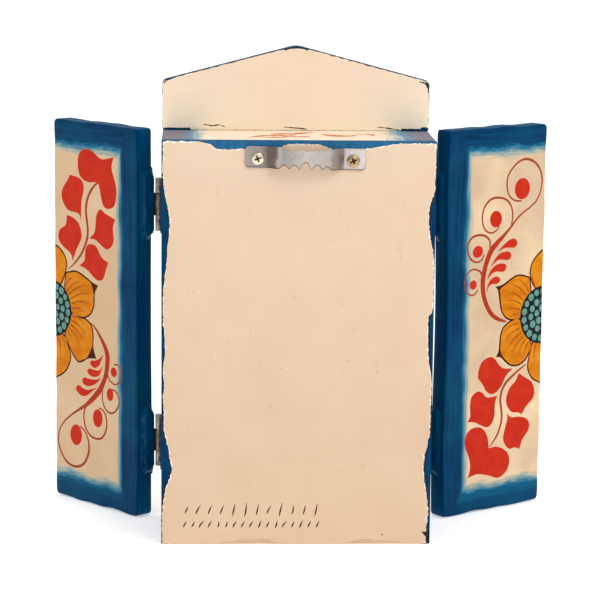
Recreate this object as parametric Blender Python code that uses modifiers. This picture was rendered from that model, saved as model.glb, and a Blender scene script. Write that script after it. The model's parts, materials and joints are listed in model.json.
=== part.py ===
# A painted wooden retablo: an upright box with a gabled front board and two hinged doors.
# Units are metres, +Z is up. The box opens towards -Y and its back board faces +Y.
# The origin is the middle of the box's underside. Left and right are as seen from the front.

import bpy
import bmesh
from math import atan2, cos, pi, radians, sin, tan
from mathutils import Matrix, Vector

# Gap kept between pieces that touch, and the clearance round a pin or a screw
touch_gap = 0.0003
running_gap = 0.0003

# Box of boards
box_width = 0.146
box_height = 0.2201
box_depth = 0.0628
wall_thickness = 0.009
back_thickness = 0.005
board_edge_radius = 0.0008

# Whittled rim of the back board: how deep and how far in the knife took the corner down
whittle_drop = 0.0012
whittle_reach = 0.0057

# Each pair is a place along an edge of the back board and how far in the cream face starts
# there, as shares of the edge's length and of whittle_reach. The uprights run from the bottom
# to the top.
right_rim = (
    (0.03, 0.09), (0.086, 0.07), (0.123, 0.26), (0.192, 1), (0.21, 0.84), (0.304, 0.18),
    (0.331, 0.26), (0.371, 0.14), (0.393, 0.25), (0.438, 0.16), (0.485, 0.35), (0.589, 0.12),
    (0.639, 0.18), (0.703, 0.47), (0.805, 0.77), (0.892, 0.21), (0.931, 0.07), (0.965, 0.14),
)
left_rim = (
    (0.034, 0.37), (0.086, 0.19), (0.192, 0.72), (0.23, 0.6), (0.257, 0.37), (0.282, 0.16),
    (0.408, 0.09), (0.48, 0.47), (0.569, 0.53), (0.582, 0.21), (0.6, 0.07), (0.7, 0.05),
    (0.802, 0.63), (0.84, 0.58), (0.88, 0.11), (0.965, 0.05),
)
# The level edges run from the right end to the left end.
top_rim = (
    (0.045, 0.07), (0.132, 0.09), (0.165, 0.23), (0.203, 0.77), (0.249, 0.81), (0.423, 0.58),
    (0.459, 0.33), (0.503, 0.25), (0.572, 0.32), (0.618, 0.74), (0.735, 0.72), (0.862, 0.21),
    (0.97, 0.14),
)
bottom_rim = (
    (0.03, 0.07), (0.19, 0.05), (0.225, 0.25), (0.328, 0.56), (0.38, 0.56), (0.437, 0.07),
    (0.66, 0.05), (0.754, 0.51), (0.854, 0.39), (0.93, 0.07),
)

# Gabled board that stands on the front edge of the top
gable_overhang = 0.0003
gable_thickness = 0.01
gable_eave_height = 0.0268
gable_ridge_height = 0.0462
gable_eave_radius = 0.0026
gable_ridge_radius = 0.012

# Doors
door_width = 0.0724
door_thickness = 0.011
door_foot_clearance = 0.0003
door_rise_over_box = 0.0004
door_corner_radius = 0.0025
door_edge_radius = 0.0007
door_wander = 0.0005
right_door_open = 131.9
left_door_open = 144.5

# Butt hinges, four alike
hinge_length = 0.0296
hinge_middle_knuckle = 0.0126
hinge_barrel_radius = 0.0017
hinge_pin_radius = 0.0008
hinge_leaf_thickness = 0.0011
hinge_leaf_reach = 0.0105
hinge_axis_off_wall = 0.0026
hinge_axis_before_box = 0.00065
hinge_axis_behind_door = 0.0027
lower_hinge_height = 0.0436
upper_hinge_below_top = 0.0425

# Screws of the hinges
hinge_screw_shank_radius = 0.0008
hinge_screw_head_radius = 0.0017
hinge_screw_head_height = 0.0006
hinge_screw_length = 0.006
hinge_screw_spread = 0.0095
hinge_screw_reach = 0.0066

# Sawtooth hanger, bent from one strip
hanger_length = 0.0635
hanger_height = 0.0122
hanger_thickness = 0.0008
hanger_tab_length = 0.0116
hanger_riser_run = 0.0058
hanger_rise = 0.0052
hanger_bow = 0.0022
hanger_corner_radius = 0.0018
hanger_tooth_count = 5
hanger_tooth_depth = 0.0024
hanger_tooth_margin = 0.0005
hanger_off_centre = -0.0032
hanger_below_top = 0.0091
hanger_tilt = 1.2

# Screws of the hanger
hanger_screw_shank_radius = 0.0014
hanger_screw_head_radius = 0.0035
hanger_screw_head_height = 0.0013
hanger_screw_length = 0.0042
hanger_screw_inset = 0.0064
hanger_screw_drop = 0.0008
cross_width = 0.0009
cross_span = 0.0034
cross_depth = 0.0009

# Places that follow from the sizes above
back_face_y = box_depth / 2
front_face_y = -box_depth / 2
inner_back_y = back_face_y - back_thickness - touch_gap
hinge_axis_x = box_width / 2 + hinge_axis_off_wall
hinge_axis_y = front_face_y - hinge_axis_before_box
door_back_y = hinge_axis_y - hinge_axis_behind_door
door_top_z = box_height + door_rise_over_box
upper_hinge_height = box_height - upper_hinge_below_top
gable_width = box_width + 2 * gable_overhang

for old in list(bpy.data.objects):
    bpy.data.objects.remove(old, do_unlink=True)

part_collection = bpy.data.collections.new("retablo")
cutter_collection = bpy.data.collections.new("cutters")
bpy.context.scene.collection.children.link(part_collection)
bpy.context.scene.collection.children.link(cutter_collection)


def make_material(name, colour, roughness, metallic):
    material = bpy.data.materials.new(name)
    material.use_nodes = True
    shader = material.node_tree.nodes["Principled BSDF"]
    shader.inputs["Base Color"].default_value = (*colour, 1.0)
    shader.inputs["Roughness"].default_value = roughness
    shader.inputs["Metallic"].default_value = metallic
    return material


cream_paint = make_material("cream paint", (0.82, 0.6, 0.43), 0.6, 0.0)
blue_paint = make_material("blue paint", (0.0, 0.042, 0.115), 0.32, 0.0)
zinc_steel = make_material("zinc plated steel", (0.5, 0.48, 0.45), 0.35, 1.0)
worn_steel = make_material("worn steel", (0.32, 0.27, 0.23), 0.5, 1.0)
yellow_zinc = make_material("yellow zinc screw", (0.62, 0.52, 0.33), 0.35, 1.0)


def add_object(name, mesh, material, collection=part_collection):
    thing = bpy.data.objects.new(name, mesh)
    collection.objects.link(thing)
    if material:
        mesh.materials.append(material)
    if collection is cutter_collection:
        thing.hide_render = True
        thing.display_type = "WIRE"
    return thing


def mesh_from(builder, name):
    shape = bmesh.new()
    builder(shape)
    bmesh.ops.recalc_face_normals(shape, faces=shape.faces)
    mesh = bpy.data.meshes.new(name)
    shape.to_mesh(mesh)
    shape.free()
    return mesh


def box_mesh(name, low, high):
    centre = (Vector(low) + Vector(high)) / 2
    size = Vector(high) - Vector(low)
    placed = Matrix.Translation(centre) @ Matrix.Diagonal((*size, 1.0))
    return mesh_from(lambda shape: bmesh.ops.create_cube(shape, size=1.0, matrix=placed), name)


def rod_mesh(name, centre, axis, radius, length, sides):
    turned = Vector((0, 0, 1)).rotation_difference(Vector(axis)).to_matrix().to_4x4()
    placed = Matrix.Translation(centre) @ turned
    return mesh_from(
        lambda shape: bmesh.ops.create_cone(
            shape, cap_ends=True, segments=sides, radius1=radius, radius2=radius,
            depth=length, matrix=placed,
        ),
        name,
    )


def plate_mesh(name, outline, thickness, matrix):
    # The flat outline lies in the curve's XY plane and is extruded both ways from it.
    curve = bpy.data.curves.new(name, "CURVE")
    curve.dimensions = "2D"
    curve.fill_mode = "BOTH"
    curve.extrude = thickness / 2
    spline = curve.splines.new("POLY")
    spline.points.add(len(outline) - 1)
    for point, (x, y) in zip(spline.points, outline):
        point.co = (x, y, 0, 1)
    spline.use_cyclic_u = True
    draft = bpy.data.objects.new(name, curve)
    bpy.context.scene.collection.objects.link(draft)
    evaluated = draft.evaluated_get(bpy.context.evaluated_depsgraph_get())
    mesh = bpy.data.meshes.new_from_object(evaluated)
    bpy.data.objects.remove(draft, do_unlink=True)
    shape = bmesh.new()
    shape.from_mesh(mesh)
    bmesh.ops.remove_doubles(shape, verts=shape.verts, dist=0.000001)
    bmesh.ops.dissolve_limit(shape, angle_limit=radians(0.5), verts=shape.verts, edges=shape.edges)
    bmesh.ops.transform(shape, matrix=matrix, verts=shape.verts)
    bmesh.ops.recalc_face_normals(shape, faces=shape.faces)
    shape.to_mesh(mesh)
    shape.free()
    mesh.materials.clear()
    return mesh


def soften(thing, radius, segments=1):
    bevel = thing.modifiers.new("softened edges", "BEVEL")
    bevel.width = radius
    bevel.segments = segments
    bevel.limit_method = "ANGLE"
    bevel.angle_limit = radians(40)


def cut(thing, cutter):
    boolean = thing.modifiers.new("cut", "BOOLEAN")
    boolean.operation = "DIFFERENCE"
    boolean.solver = "EXACT"
    boolean.object = cutter


def fillet(points, radii, steps):
    # Rounds each corner of an outline by an arc of its own radius.
    rounded = []
    count = len(points)
    for index, (corner, radius) in enumerate(zip(points, radii)):
        corner = Vector(corner)
        before = (Vector(points[index - 1]) - corner).normalized()
        after = (Vector(points[(index + 1) % count]) - corner).normalized()
        if radius == 0:
            rounded.append(tuple(corner))
            continue
        half = before.angle(after) / 2
        centre = corner + (before + after).normalized() * (radius / sin(half))
        start = corner + before * (radius / tan(half)) - centre
        stop = corner + after * (radius / tan(half)) - centre
        first = atan2(start.y, start.x)
        turn = atan2(stop.y, stop.x) - first
        turn = (turn + pi) % (2 * pi) - pi
        for step in range(steps + 1):
            angle = first + turn * step / steps
            rounded.append((centre.x + radius * cos(angle), centre.y + radius * sin(angle)))
    return rounded


def smooth_inset(rim, share):
    # Inset of the cream face at one share of the edge, eased between the listed pairs.
    if share <= rim[0][0]:
        return rim[0][1] * whittle_reach
    for (start, low), (stop, high) in zip(rim, rim[1:]):
        if share <= stop:
            ease = (share - start) / (stop - start)
            ease = ease * ease * (3 - 2 * ease)
            return (low + (high - low) * ease) * whittle_reach
    return rim[-1][1] * whittle_reach


def rim_shares(rim):
    # The listed shares and two between each pair whose insets differ.
    shares = [rim[0][0]]
    for (start, low), (stop, high) in zip(rim, rim[1:]):
        if abs(high - low) > 0.07:
            shares.append(start + (stop - start) / 3)
            shares.append(start + (stop - start) * 2 / 3)
        shares.append(stop)
    return shares


def back_board_loops():
    # Matching corner and edge points: the board's full outline and the cream face's outline.
    half = box_width / 2
    full = []
    cream = []
    full.append((half, 0.0))
    cream.append((half - smooth_inset(right_rim, 0.0), smooth_inset(bottom_rim, 0.0)))
    for share in rim_shares(right_rim):
        full.append((half, share * box_height))
        cream.append((half - smooth_inset(right_rim, share), share * box_height))
    full.append((half, box_height))
    cream.append((half - smooth_inset(right_rim, 1.0), box_height - smooth_inset(top_rim, 0.0)))
    for share in rim_shares(top_rim):
        full.append((half - share * box_width, box_height))
        cream.append((half - share * box_width, box_height - smooth_inset(top_rim, share)))
    full.append((-half, box_height))
    cream.append((-half + smooth_inset(left_rim, 1.0), box_height - smooth_inset(top_rim, 1.0)))
    for share in reversed(rim_shares(left_rim)):
        full.append((-half, share * box_height))
        cream.append((-half + smooth_inset(left_rim, share), share * box_height))
    full.append((-half, 0.0))
    cream.append((-half + smooth_inset(left_rim, 0.0), smooth_inset(bottom_rim, 1.0)))
    for share in reversed(rim_shares(bottom_rim)):
        full.append((half - share * box_width, 0.0))
        cream.append((half - share * box_width, smooth_inset(bottom_rim, share)))
    return full, cream


def build_back_board(shape):
    # A loft from the full rectangle to the cream face, whose rim the knife left uneven.
    full, cream = back_board_loops()
    levels = (
        (full, back_face_y - back_thickness),
        (full, back_face_y - whittle_drop),
        (cream, back_face_y),
    )
    rings = []
    for outline, depth in levels:
        rings.append([shape.verts.new((x, depth, z)) for x, z in outline])
    count = len(full)
    for lower, upper in zip(rings, rings[1:]):
        for index in range(count):
            after = (index + 1) % count
            shape.faces.new((lower[index], lower[after], upper[after], upper[index]))
    shape.faces.new(rings[0])
    shape.faces.new(rings[-1])


def screw_mesh(name, place, outward, shank_radius, head_radius, head_height, length, sides):
    # A low domed head on a straight shank, turned from a profile that runs top to bottom.
    profile = [
        (0.0, head_height), (head_radius * 0.55, head_height * 0.93),
        (head_radius * 0.9, head_height * 0.6), (head_radius, 0.0),
        (shank_radius, 0.0), (shank_radius, -length + shank_radius), (0.0, -length),
    ]
    mesh = bpy.data.meshes.new(name)
    edges = [(index, index + 1) for index in range(len(profile) - 1)]
    mesh.from_pydata([(x, 0, z) for x, z in profile], edges, [])
    draft = bpy.data.objects.new(name, mesh)
    bpy.context.scene.collection.objects.link(draft)
    turning = draft.modifiers.new("turned", "SCREW")
    turning.steps = sides
    turning.render_steps = sides
    turning.use_merge_vertices = True
    turning.merge_threshold = 0.00001
    evaluated = draft.evaluated_get(bpy.context.evaluated_depsgraph_get())
    turned = bpy.data.meshes.new_from_object(evaluated)
    bpy.data.objects.remove(draft, do_unlink=True)
    facing = Vector((0, 0, 1)).rotation_difference(Vector(outward)).to_matrix().to_4x4()
    turned.transform(Matrix.Translation(place) @ facing)
    shape = bmesh.new()
    shape.from_mesh(turned)
    bmesh.ops.recalc_face_normals(shape, faces=shape.faces)
    shape.to_mesh(turned)
    shape.free()
    turned.shade_smooth()
    turned.set_sharp_from_angle(angle=radians(35))
    return turned


def hole_cutter(name, place, outward, radius, above, below, sides):
    # A rod from a little above the place down to the hole's floor.
    direction = Vector(outward).normalized()
    centre = Vector(place) + direction * ((above - below) / 2)
    mesh = rod_mesh(name, centre, direction, radius, above + below, sides)
    return add_object(name, mesh, None, cutter_collection)


def build_boards():
    half = box_width / 2
    side_low = wall_thickness + touch_gap
    side_high = box_height - wall_thickness - touch_gap
    boards = {
        "bottom_board": ((-half, front_face_y, 0.0), (half, inner_back_y, wall_thickness)),
        "top_board": (
            (-half, front_face_y, box_height - wall_thickness),
            (half, inner_back_y, box_height),
        ),
        "side_left": (
            (-half, front_face_y, side_low),
            (-half + wall_thickness, inner_back_y, side_high),
        ),
        "side_right": (
            (half - wall_thickness, front_face_y, side_low),
            (half, inner_back_y, side_high),
        ),
    }
    made = {}
    for name, (low, high) in boards.items():
        board = add_object(name, box_mesh(name, low, high), blue_paint)
        soften(board, board_edge_radius)
        made[name] = board
    made["back_panel"] = add_object(
        "back_panel", mesh_from(build_back_board, "back_panel"), cream_paint
    )
    return made


def build_gable():
    half = gable_width / 2
    outline = fillet(
        ((-half, 0.0), (half, 0.0), (half, gable_eave_height), (0.0, gable_ridge_height),
         (-half, gable_eave_height)),
        (0.0, 0.0, gable_eave_radius, gable_ridge_radius, gable_eave_radius),
        5,
    )
    centre = Vector((0.0, front_face_y + gable_thickness / 2, box_height + touch_gap))
    upright = Matrix.Translation(centre) @ Matrix.Rotation(radians(90), 4, "X")
    gable = add_object(
        "gable_board", plate_mesh("gable_board", outline, gable_thickness, upright), cream_paint
    )
    soften(gable, board_edge_radius)


def door_outline(phase):
    # Width runs from the hinge edge, height from the foot. The saw and the knife left
    # the long edges a little uneven.
    height = door_top_z - door_foot_clearance
    corners = fillet(
        ((0.0, 0.0), (door_width, 0.0), (door_width, height), (0.0, height)),
        (door_corner_radius,) * 4,
        4,
    )
    outline = []
    steps = 7
    for index, (width, rise) in enumerate(corners):
        outline.append((width, rise))
        following = corners[(index + 1) % len(corners)]
        run = following[1] - rise
        if abs(run) < height / 2:
            continue
        for step in range(1, steps):
            share = step / steps
            sway = door_wander * sin(3 * pi * share + phase) * sin(pi * share)
            if width < door_width / 2:
                sway = abs(sway)
            outline.append((width + sway, rise + run * share))
    return outline


def hinge_section(side, toward_back):
    # Section through one leaf and its barrel, with the pin's axis at the origin.
    inner = -hinge_axis_off_wall + touch_gap
    outer = inner + hinge_leaf_thickness
    barrel_meets_leaf = atan2((hinge_barrel_radius ** 2 - outer ** 2) ** 0.5, outer)
    start = radians(200)
    stop = barrel_meets_leaf + 2 * pi
    steps = 11
    section = [(inner, hinge_leaf_reach), (inner, 0.2 * hinge_barrel_radius)]
    for step in range(steps + 1):
        angle = start + (stop - start) * step / steps
        section.append((hinge_barrel_radius * cos(angle), hinge_barrel_radius * sin(angle)))
    section.append((outer, hinge_leaf_reach))
    return [(side * x, toward_back * y) for x, y in section]


def build_hinge(label, side, height, wood, door, moving):
    # The box leaf has the two outer knuckles, the door leaf has the middle one.
    axis = Vector((side * hinge_axis_x, hinge_axis_y, height))
    space = Matrix.Translation(axis)
    middle = hinge_middle_knuckle
    clear = hinge_barrel_radius + running_gap
    tall = hinge_length * 2
    pin_hole = add_object(
        f"pin_hole_{label}",
        rod_mesh("pin_hole", axis, (0, 0, 1), hinge_pin_radius + running_gap, tall, 12),
        None, cutter_collection,
    )
    leaves = {}
    for kind, toward_back in (("box", 1), ("door", -1)):
        name = f"hinge_{label}_{kind}_leaf"
        section = hinge_section(side, toward_back)
        leaf = add_object(name, plate_mesh(name, section, hinge_length, space), worn_steel)
        cut(leaf, pin_hole)
        if kind == "box":
            spans = ((-middle / 2 - running_gap, middle / 2 + running_gap),)
        else:
            spans = ((middle / 2, hinge_length), (-hinge_length, -middle / 2))
        for number, (low, high) in enumerate(spans):
            reach = sorted((-toward_back * hinge_length, toward_back * clear))
            room = box_mesh(
                "knuckle_room",
                (axis.x - hinge_length, axis.y + reach[0], axis.z + low),
                (axis.x + hinge_length, axis.y + reach[1], axis.z + high),
            )
            cutter = add_object(f"knuckle_room_{label}_{kind}_{number}", room, None, cutter_collection)
            cut(leaf, cutter)
            if kind == "door":
                moving.append(cutter)
        leaves[kind] = leaf
    moving.append(leaves["door"])
    pin = rod_mesh("pin", axis, (0, 0, 1), hinge_pin_radius, hinge_length, 12)
    add_object(f"hinge_{label}_pin", pin, worn_steel)

    # Screws and their holes, two through each leaf
    leaf_face = -hinge_axis_off_wall + touch_gap + hinge_leaf_thickness
    for kind, toward_back, board in (("box", 1, wood), ("door", -1, door)):
        for number, spread in enumerate((-hinge_screw_spread, hinge_screw_spread), 1):
            place = axis + Vector((
                side * (leaf_face + touch_gap), toward_back * hinge_screw_reach, spread,
            ))
            name = f"hinge_{label}_{kind}_screw_{number}"
            outward = (side, 0, 0)
            screw = add_object(
                name,
                screw_mesh(name, place, outward, hinge_screw_shank_radius,
                           hinge_screw_head_radius, hinge_screw_head_height,
                           hinge_screw_length, 12),
                worn_steel,
            )
            hole = hole_cutter(
                f"hole_{name}", place, outward, hinge_screw_shank_radius + running_gap,
                hinge_screw_head_height, hinge_screw_length + running_gap, 10,
            )
            cut(leaves[kind], hole)
            cut(board, hole)
            if kind == "door":
                moving.extend((screw, hole))


def build_door(label, side, open_angle, phase, board):
    pivot = bpy.data.objects.new(f"door_{label}_pivot", None)
    pivot.location = (side * hinge_axis_x, hinge_axis_y, 0.0)
    part_collection.objects.link(pivot)
    hinge_edge_x = side * (hinge_axis_x - hinge_axis_off_wall)
    centre_y = door_back_y - door_thickness / 2
    upright = Matrix.Translation((hinge_edge_x, centre_y, door_foot_clearance))
    upright = upright @ Matrix.Rotation(radians(90), 4, "X")
    outline = [(-side * width, rise) for width, rise in door_outline(phase)]
    name = f"door_{label}"
    door = add_object(name, plate_mesh(name, outline, door_thickness, upright), blue_paint)
    soften(door, door_edge_radius, 2)
    moving = [door]
    for level, height in (("lower", lower_hinge_height), ("upper", upper_hinge_height)):
        build_hinge(f"{label}_{level}", side, height, board, door, moving)
    bpy.context.view_layer.update()
    for thing in moving:
        thing.parent = pivot
        thing.matrix_parent_inverse = pivot.matrix_world.inverted()
    pivot.rotation_euler.z = side * radians(open_angle)


def hanger_path():
    # Stations along the strip from one end to the other: distance along the wall, distance
    # off the wall, and the heights of the strip's lower and upper edge.
    half = hanger_length / 2
    top = hanger_height / 2
    riser_start = half - hanger_tab_length
    strip_half = riser_start - hanger_riser_run
    end = []
    for step in range(4):
        angle = pi / 2 * (1 - step / 3)
        along = half - hanger_corner_radius * (1 - sin(angle))
        drop = hanger_corner_radius * (1 - cos(angle))
        end.append((along, 0.0, -top + drop, top - drop))
    end.append((riser_start, 0.0, -top, top))
    end.append((riser_start - hanger_riser_run * 0.2, hanger_rise * 0.08, -top, top))
    end.append((strip_half + hanger_riser_run * 0.25, hanger_rise * 0.85, -top, top))
    end.append((strip_half, hanger_rise, -top, top))
    teeth = []
    tooth_zone = strip_half - hanger_tooth_margin
    for step in range(2 * hanger_tooth_count + 1):
        along = tooth_zone * (1 - step / hanger_tooth_count)
        notch = hanger_tooth_depth if step % 2 else 0.0
        off = hanger_rise + hanger_bow * (1 - (along / strip_half) ** 2)
        teeth.append((along, off, -top + notch, top))
    mirrored = [(-along, off, low, high) for along, off, low, high in reversed(end)]
    return end + teeth + mirrored


def build_hanger_strip(shape):
    path = hanger_path()
    loops = []
    for index, (x, off, low, high) in enumerate(path):
        before = path[max(index - 1, 0)]
        after = path[min(index + 1, len(path) - 1)]
        along = Vector((after[0] - before[0], after[1] - before[1])).normalized()
        lift = Vector((-along.y, along.x)) * hanger_thickness
        if lift.y < 0:
            lift = -lift
        loops.append([
            shape.verts.new((x, off, low)), shape.verts.new((x, off, high)),
            shape.verts.new((x + lift.x, off + lift.y, high)),
            shape.verts.new((x + lift.x, off + lift.y, low)),
        ])
    for near, far in zip(loops, loops[1:]):
        for corner in range(4):
            following = (corner + 1) % 4
            shape.faces.new((near[corner], near[following], far[following], far[corner]))
    shape.faces.new(loops[0])
    shape.faces.new(loops[-1])


def build_hanger(back_panel):
    centre = Vector((hanger_off_centre, back_face_y + touch_gap, box_height - hanger_below_top))
    tilted = Matrix.Translation(centre) @ Matrix.Rotation(radians(-hanger_tilt), 4, "Y")
    mesh = mesh_from(build_hanger_strip, "hanger")
    mesh.transform(tilted)
    hanger = add_object("sawtooth_hanger", mesh, zinc_steel)
    face = hanger_thickness + touch_gap
    for number, side in ((1, 1), (2, -1)):
        across = side * (hanger_length / 2 - hanger_screw_inset)
        place = tilted @ Vector((across, face, -hanger_screw_drop))
        name = f"hanger_screw_{number}"
        outward = (0, 1, 0)
        screw = add_object(
            name,
            screw_mesh(name, place, outward, hanger_screw_shank_radius,
                       hanger_screw_head_radius, hanger_screw_head_height,
                       hanger_screw_length, 20),
            yellow_zinc,
        )
        top = place.y + hanger_screw_head_height
        for turn in (0, 90):
            arm = box_mesh(
                "cross_arm",
                (-cross_span / 2, -cross_depth, -cross_width / 2),
                (cross_span / 2, cross_depth, cross_width / 2),
            )
            arm.transform(
                Matrix.Translation((place.x, top, place.z)) @ Matrix.Rotation(radians(turn + 20), 4, "Y")
            )
            cut(screw, add_object(f"cross_{number}_{turn}", arm, None, cutter_collection))
        hole = hole_cutter(
            f"hole_{name}", place, outward, hanger_screw_shank_radius + running_gap,
            hanger_screw_head_height, hanger_screw_length + running_gap, 14,
        )
        cut(hanger, hole)
        cut(back_panel, hole)


boards = build_boards()
build_gable()
build_door("right", 1, right_door_open, 0.4, boards["side_right"])
build_door("left", -1, left_door_open, 2.2, boards["side_left"])
build_hanger(boards["back_panel"])
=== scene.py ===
# Painted retablo seen from behind: plastered back board, gable, and two doors swung open
import math
import random

import bpy
import numpy as np
from mathutils import Euler, Matrix, Vector, noise
from mathutils.geometry import convex_hull_2d, delaunay_2d_cdt
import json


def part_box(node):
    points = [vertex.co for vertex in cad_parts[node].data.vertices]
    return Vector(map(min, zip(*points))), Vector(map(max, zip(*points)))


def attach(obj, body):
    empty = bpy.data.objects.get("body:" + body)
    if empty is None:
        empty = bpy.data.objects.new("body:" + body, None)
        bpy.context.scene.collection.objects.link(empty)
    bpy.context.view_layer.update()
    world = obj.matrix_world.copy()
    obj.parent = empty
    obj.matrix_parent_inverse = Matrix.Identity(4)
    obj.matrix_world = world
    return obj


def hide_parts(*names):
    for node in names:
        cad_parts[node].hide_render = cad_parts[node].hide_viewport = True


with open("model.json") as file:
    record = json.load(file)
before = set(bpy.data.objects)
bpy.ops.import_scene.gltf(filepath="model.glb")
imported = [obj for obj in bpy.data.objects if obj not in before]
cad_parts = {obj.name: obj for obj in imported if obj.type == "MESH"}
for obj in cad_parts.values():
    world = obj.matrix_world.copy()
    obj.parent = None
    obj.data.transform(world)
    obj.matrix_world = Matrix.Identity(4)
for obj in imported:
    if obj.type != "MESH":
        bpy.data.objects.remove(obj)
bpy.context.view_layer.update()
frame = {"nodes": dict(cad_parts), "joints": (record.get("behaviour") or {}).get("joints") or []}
mm = 0.001
print("frame loaded:", len(frame["nodes"]), "nodes")

# Camera that took the picture, from behind and a little above
cameraSpec = {
    "place": (0.05226, 1.34121, 0.36171),
    "turn": 177.67, "dip": 9.82, "roll": 0.56,
    "lens": 149.38, "sensor": 36, "near": 0.05,
}


def addObject(name, data):
    thing = bpy.data.objects.new(name, data)
    bpy.context.scene.collection.objects.link(thing)
    return thing


def placeCamera(spec):
    data = bpy.data.cameras.new("camera")
    data.lens, data.sensor_width, data.clip_start = spec["lens"], spec["sensor"], spec["near"]
    camera = addObject("camera", data)
    look = Euler((math.radians(90 - spec["dip"]), 0, math.radians(spec["turn"]))).to_matrix()
    look = look @ Matrix.Rotation(math.radians(spec["roll"]), 3, "Z")
    camera.matrix_world = Matrix.Translation(spec["place"]) @ look.to_4x4()
    bpy.context.scene.camera = camera


placeCamera(cameraSpec)
print("camera placed")


# Colours and shader nodes
def paintColour(hexValue):
    # sRGB hex to the linear values that shaders use
    shares = [int(hexValue[i:i + 2], 16) / 255 for i in (0, 2, 4)]
    linear = [c / 12.92 if c <= 0.04045 else ((c + 0.055) / 1.055) ** 2.4 for c in shares]
    return (*linear, 1.0)


def addNode(tree, kind, inputs=None, stops=(), **settings):
    # An input takes a value, a hex colour, a socket, or a node for that node's first output.
    # stops are a ramp's places from 0 to 1, each with its hex colour.
    node = tree.nodes.new("ShaderNode" + kind)
    for name, value in settings.items():
        setattr(node, name, value)
    stops = list(stops)
    for _ in stops[2:]:
        node.color_ramp.elements.new(0.5)
    for index, (place, hexValue) in enumerate(stops):
        element = node.color_ramp.elements[index]
        element.position = place
        element.color = paintColour(hexValue)
    for key, value in (inputs or {}).items():
        if isinstance(value, bpy.types.Node):
            value = value.outputs[0]
        if isinstance(value, bpy.types.NodeSocket):
            tree.links.new(value, node.inputs[key])
        else:
            plain = paintColour(value) if isinstance(value, str) else value
            node.inputs[key].default_value = plain
    return node


def newFinish(name, **sockets):
    material = bpy.data.materials.new(name)
    material.use_nodes = True
    tree = material.node_tree
    shader = tree.nodes["Principled BSDF"]
    for socket, value in sockets.items():
        shader.inputs[socket.replace("_", " ")].default_value = value
    return material, tree, shader


def millimetres(tree, onSheet):
    # Place on the piece in mm: along the painted sheet, or in the model's own frame
    if onSheet:
        return addNode(tree, "Attribute", attribute_name="sheetMm").outputs["Vector"]
    place = addNode(tree, "TexCoord").outputs["Object"]
    return addNode(tree, "VectorMath", {0: place, 3: 1 / mm}, operation="SCALE").outputs[0]


# Nearly all of a noise lies between these
noiseSpan = (0.35, 0.65)


def brushed(tree, place, grain, seed=0.0, detail=3.0):
    # Noise whose grain is given as its size in mm, along each axis where it is three numbers
    sizes = grain if isinstance(grain, (tuple, list)) else (grain,) * 3
    moved = addNode(tree, "Mapping", {
        0: place, 1: (seed, seed * 1.7, seed * 0.6), 3: tuple(1.0 / size for size in sizes)})
    return addNode(tree, "TexNoise", {"Vector": moved, "Scale": 1.0, "Detail": detail})


def coatShader(tree, shader, colour, heights):
    # The colour, and bumps stacked on one another: each is a height, its strength and its
    # depth in mm
    tree.links.new(colour, shader.inputs["Base Color"])
    normal = None
    for height, strength, depth in heights:
        inputs = {"Height": height, "Strength": strength, "Distance": depth * mm}
        if normal:
            inputs["Normal"] = normal
        normal = addNode(tree, "Bump", inputs).outputs[0]
    tree.links.new(normal, shader.inputs["Normal"])


# Finishes
plasterSpec = {
    "panel": ("dbbd9f", "dfc2a4"), "gable": ("f2d5ba", "f5dabf"), "inside": ("e8c9aa", "edd0b2"),
    "fringe": ("f2e6d8", "fbf4ec"), "upright": (0.9, 22.0, 0.9), "level": (24.0, 1.0, 0.9),
    "roughness": 0.62, "sheen": 0.1, "mottle": 30.0, "grit": 0.35,
    # Painted light: where the coat is painted paler, as more light falls there: the panel towards
    # its top, the gable towards its foot. From and to in mm up the board, the colour and its share
    "panelPaintedLight": (60.0, 215.0, "fbe6d0", 0.25), "gablePaintedLight": (262.0, 221.0, "fff0d6", 0.9),
}


def makePlaster(name, colours, brush="upright", depth=0.14, paintedLight=None):
    # Gesso plaster brushed on and painted matt cream: soft and faintly mottled
    spec = plasterSpec
    finish, tree, shader = newFinish(
        name, Roughness=spec["roughness"], Specular_IOR_Level=spec["sheen"])
    place = millimetres(tree, True)
    mottle = brushed(tree, place, spec["mottle"], 3.1)
    colour = addNode(tree, "ValToRGB", {0: mottle}, zip(noiseSpan, colours)).outputs[0]
    # Painted light: the coat blends towards a paler colour over these heights
    if paintedLight:
        start, stop, pale, most = paintedLight
        height = addNode(tree, "SeparateXYZ", {0: place}).outputs[1]
        share = addNode(tree, "MapRange", {0: height, 1: start, 2: stop, 4: most})
        colour = addNode(tree, "Mix", {0: share, 6: colour, 7: pale}, data_type="RGBA").outputs[2]
    streak = brushed(tree, place, spec[brush], 1.3)
    grit = brushed(tree, place, spec["grit"], 7.0, 2.0)
    coatShader(tree, shader, colour,
               ((mottle, 0.1, 0.5), (streak, 0.5, depth), (grit, 0.5, 0.06)))
    return finish


blueSpec = {
    "deep": "002b4d", "light": "00446f", "teal": "075a73",
    "roughness": 0.42, "sheen": 0.04, "across": 1.3, "along": 34.0, "patch": 26.0,
}
# The same paint made lighter as painted light, where light falls on it: on edges, and on the
# panel's top rim
litEdgeBlueSpec = {**blueSpec, "deep": "003b63", "light": "005580", "teal": "0a6478"}
litRimBlueSpec = {**blueSpec, "deep": "155a88", "light": "347098", "teal": "3a7892"}


def blueCoat(tree, place, upright, spec=blueSpec):
    # Hand-brushed Prussian blue: long upright streaks, greener where it is thin
    grain = [spec["across"]] * 3
    grain[upright] = spec["along"]
    streak = brushed(tree, place, grain, 2.2)
    patch = brushed(tree, place, spec["patch"], 9.4)
    base = addNode(tree, "ValToRGB", {0: streak}, ((0.28, spec["deep"]), (0.74, spec["light"])))
    thin = addNode(tree, "MapRange", {0: patch, 1: 0.45, 2: 0.8, 4: 0.55})
    coat = addNode(tree, "Mix", {0: thin, 6: base, 7: spec["teal"]}, data_type="RGBA")
    return coat.outputs[2], streak


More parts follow.
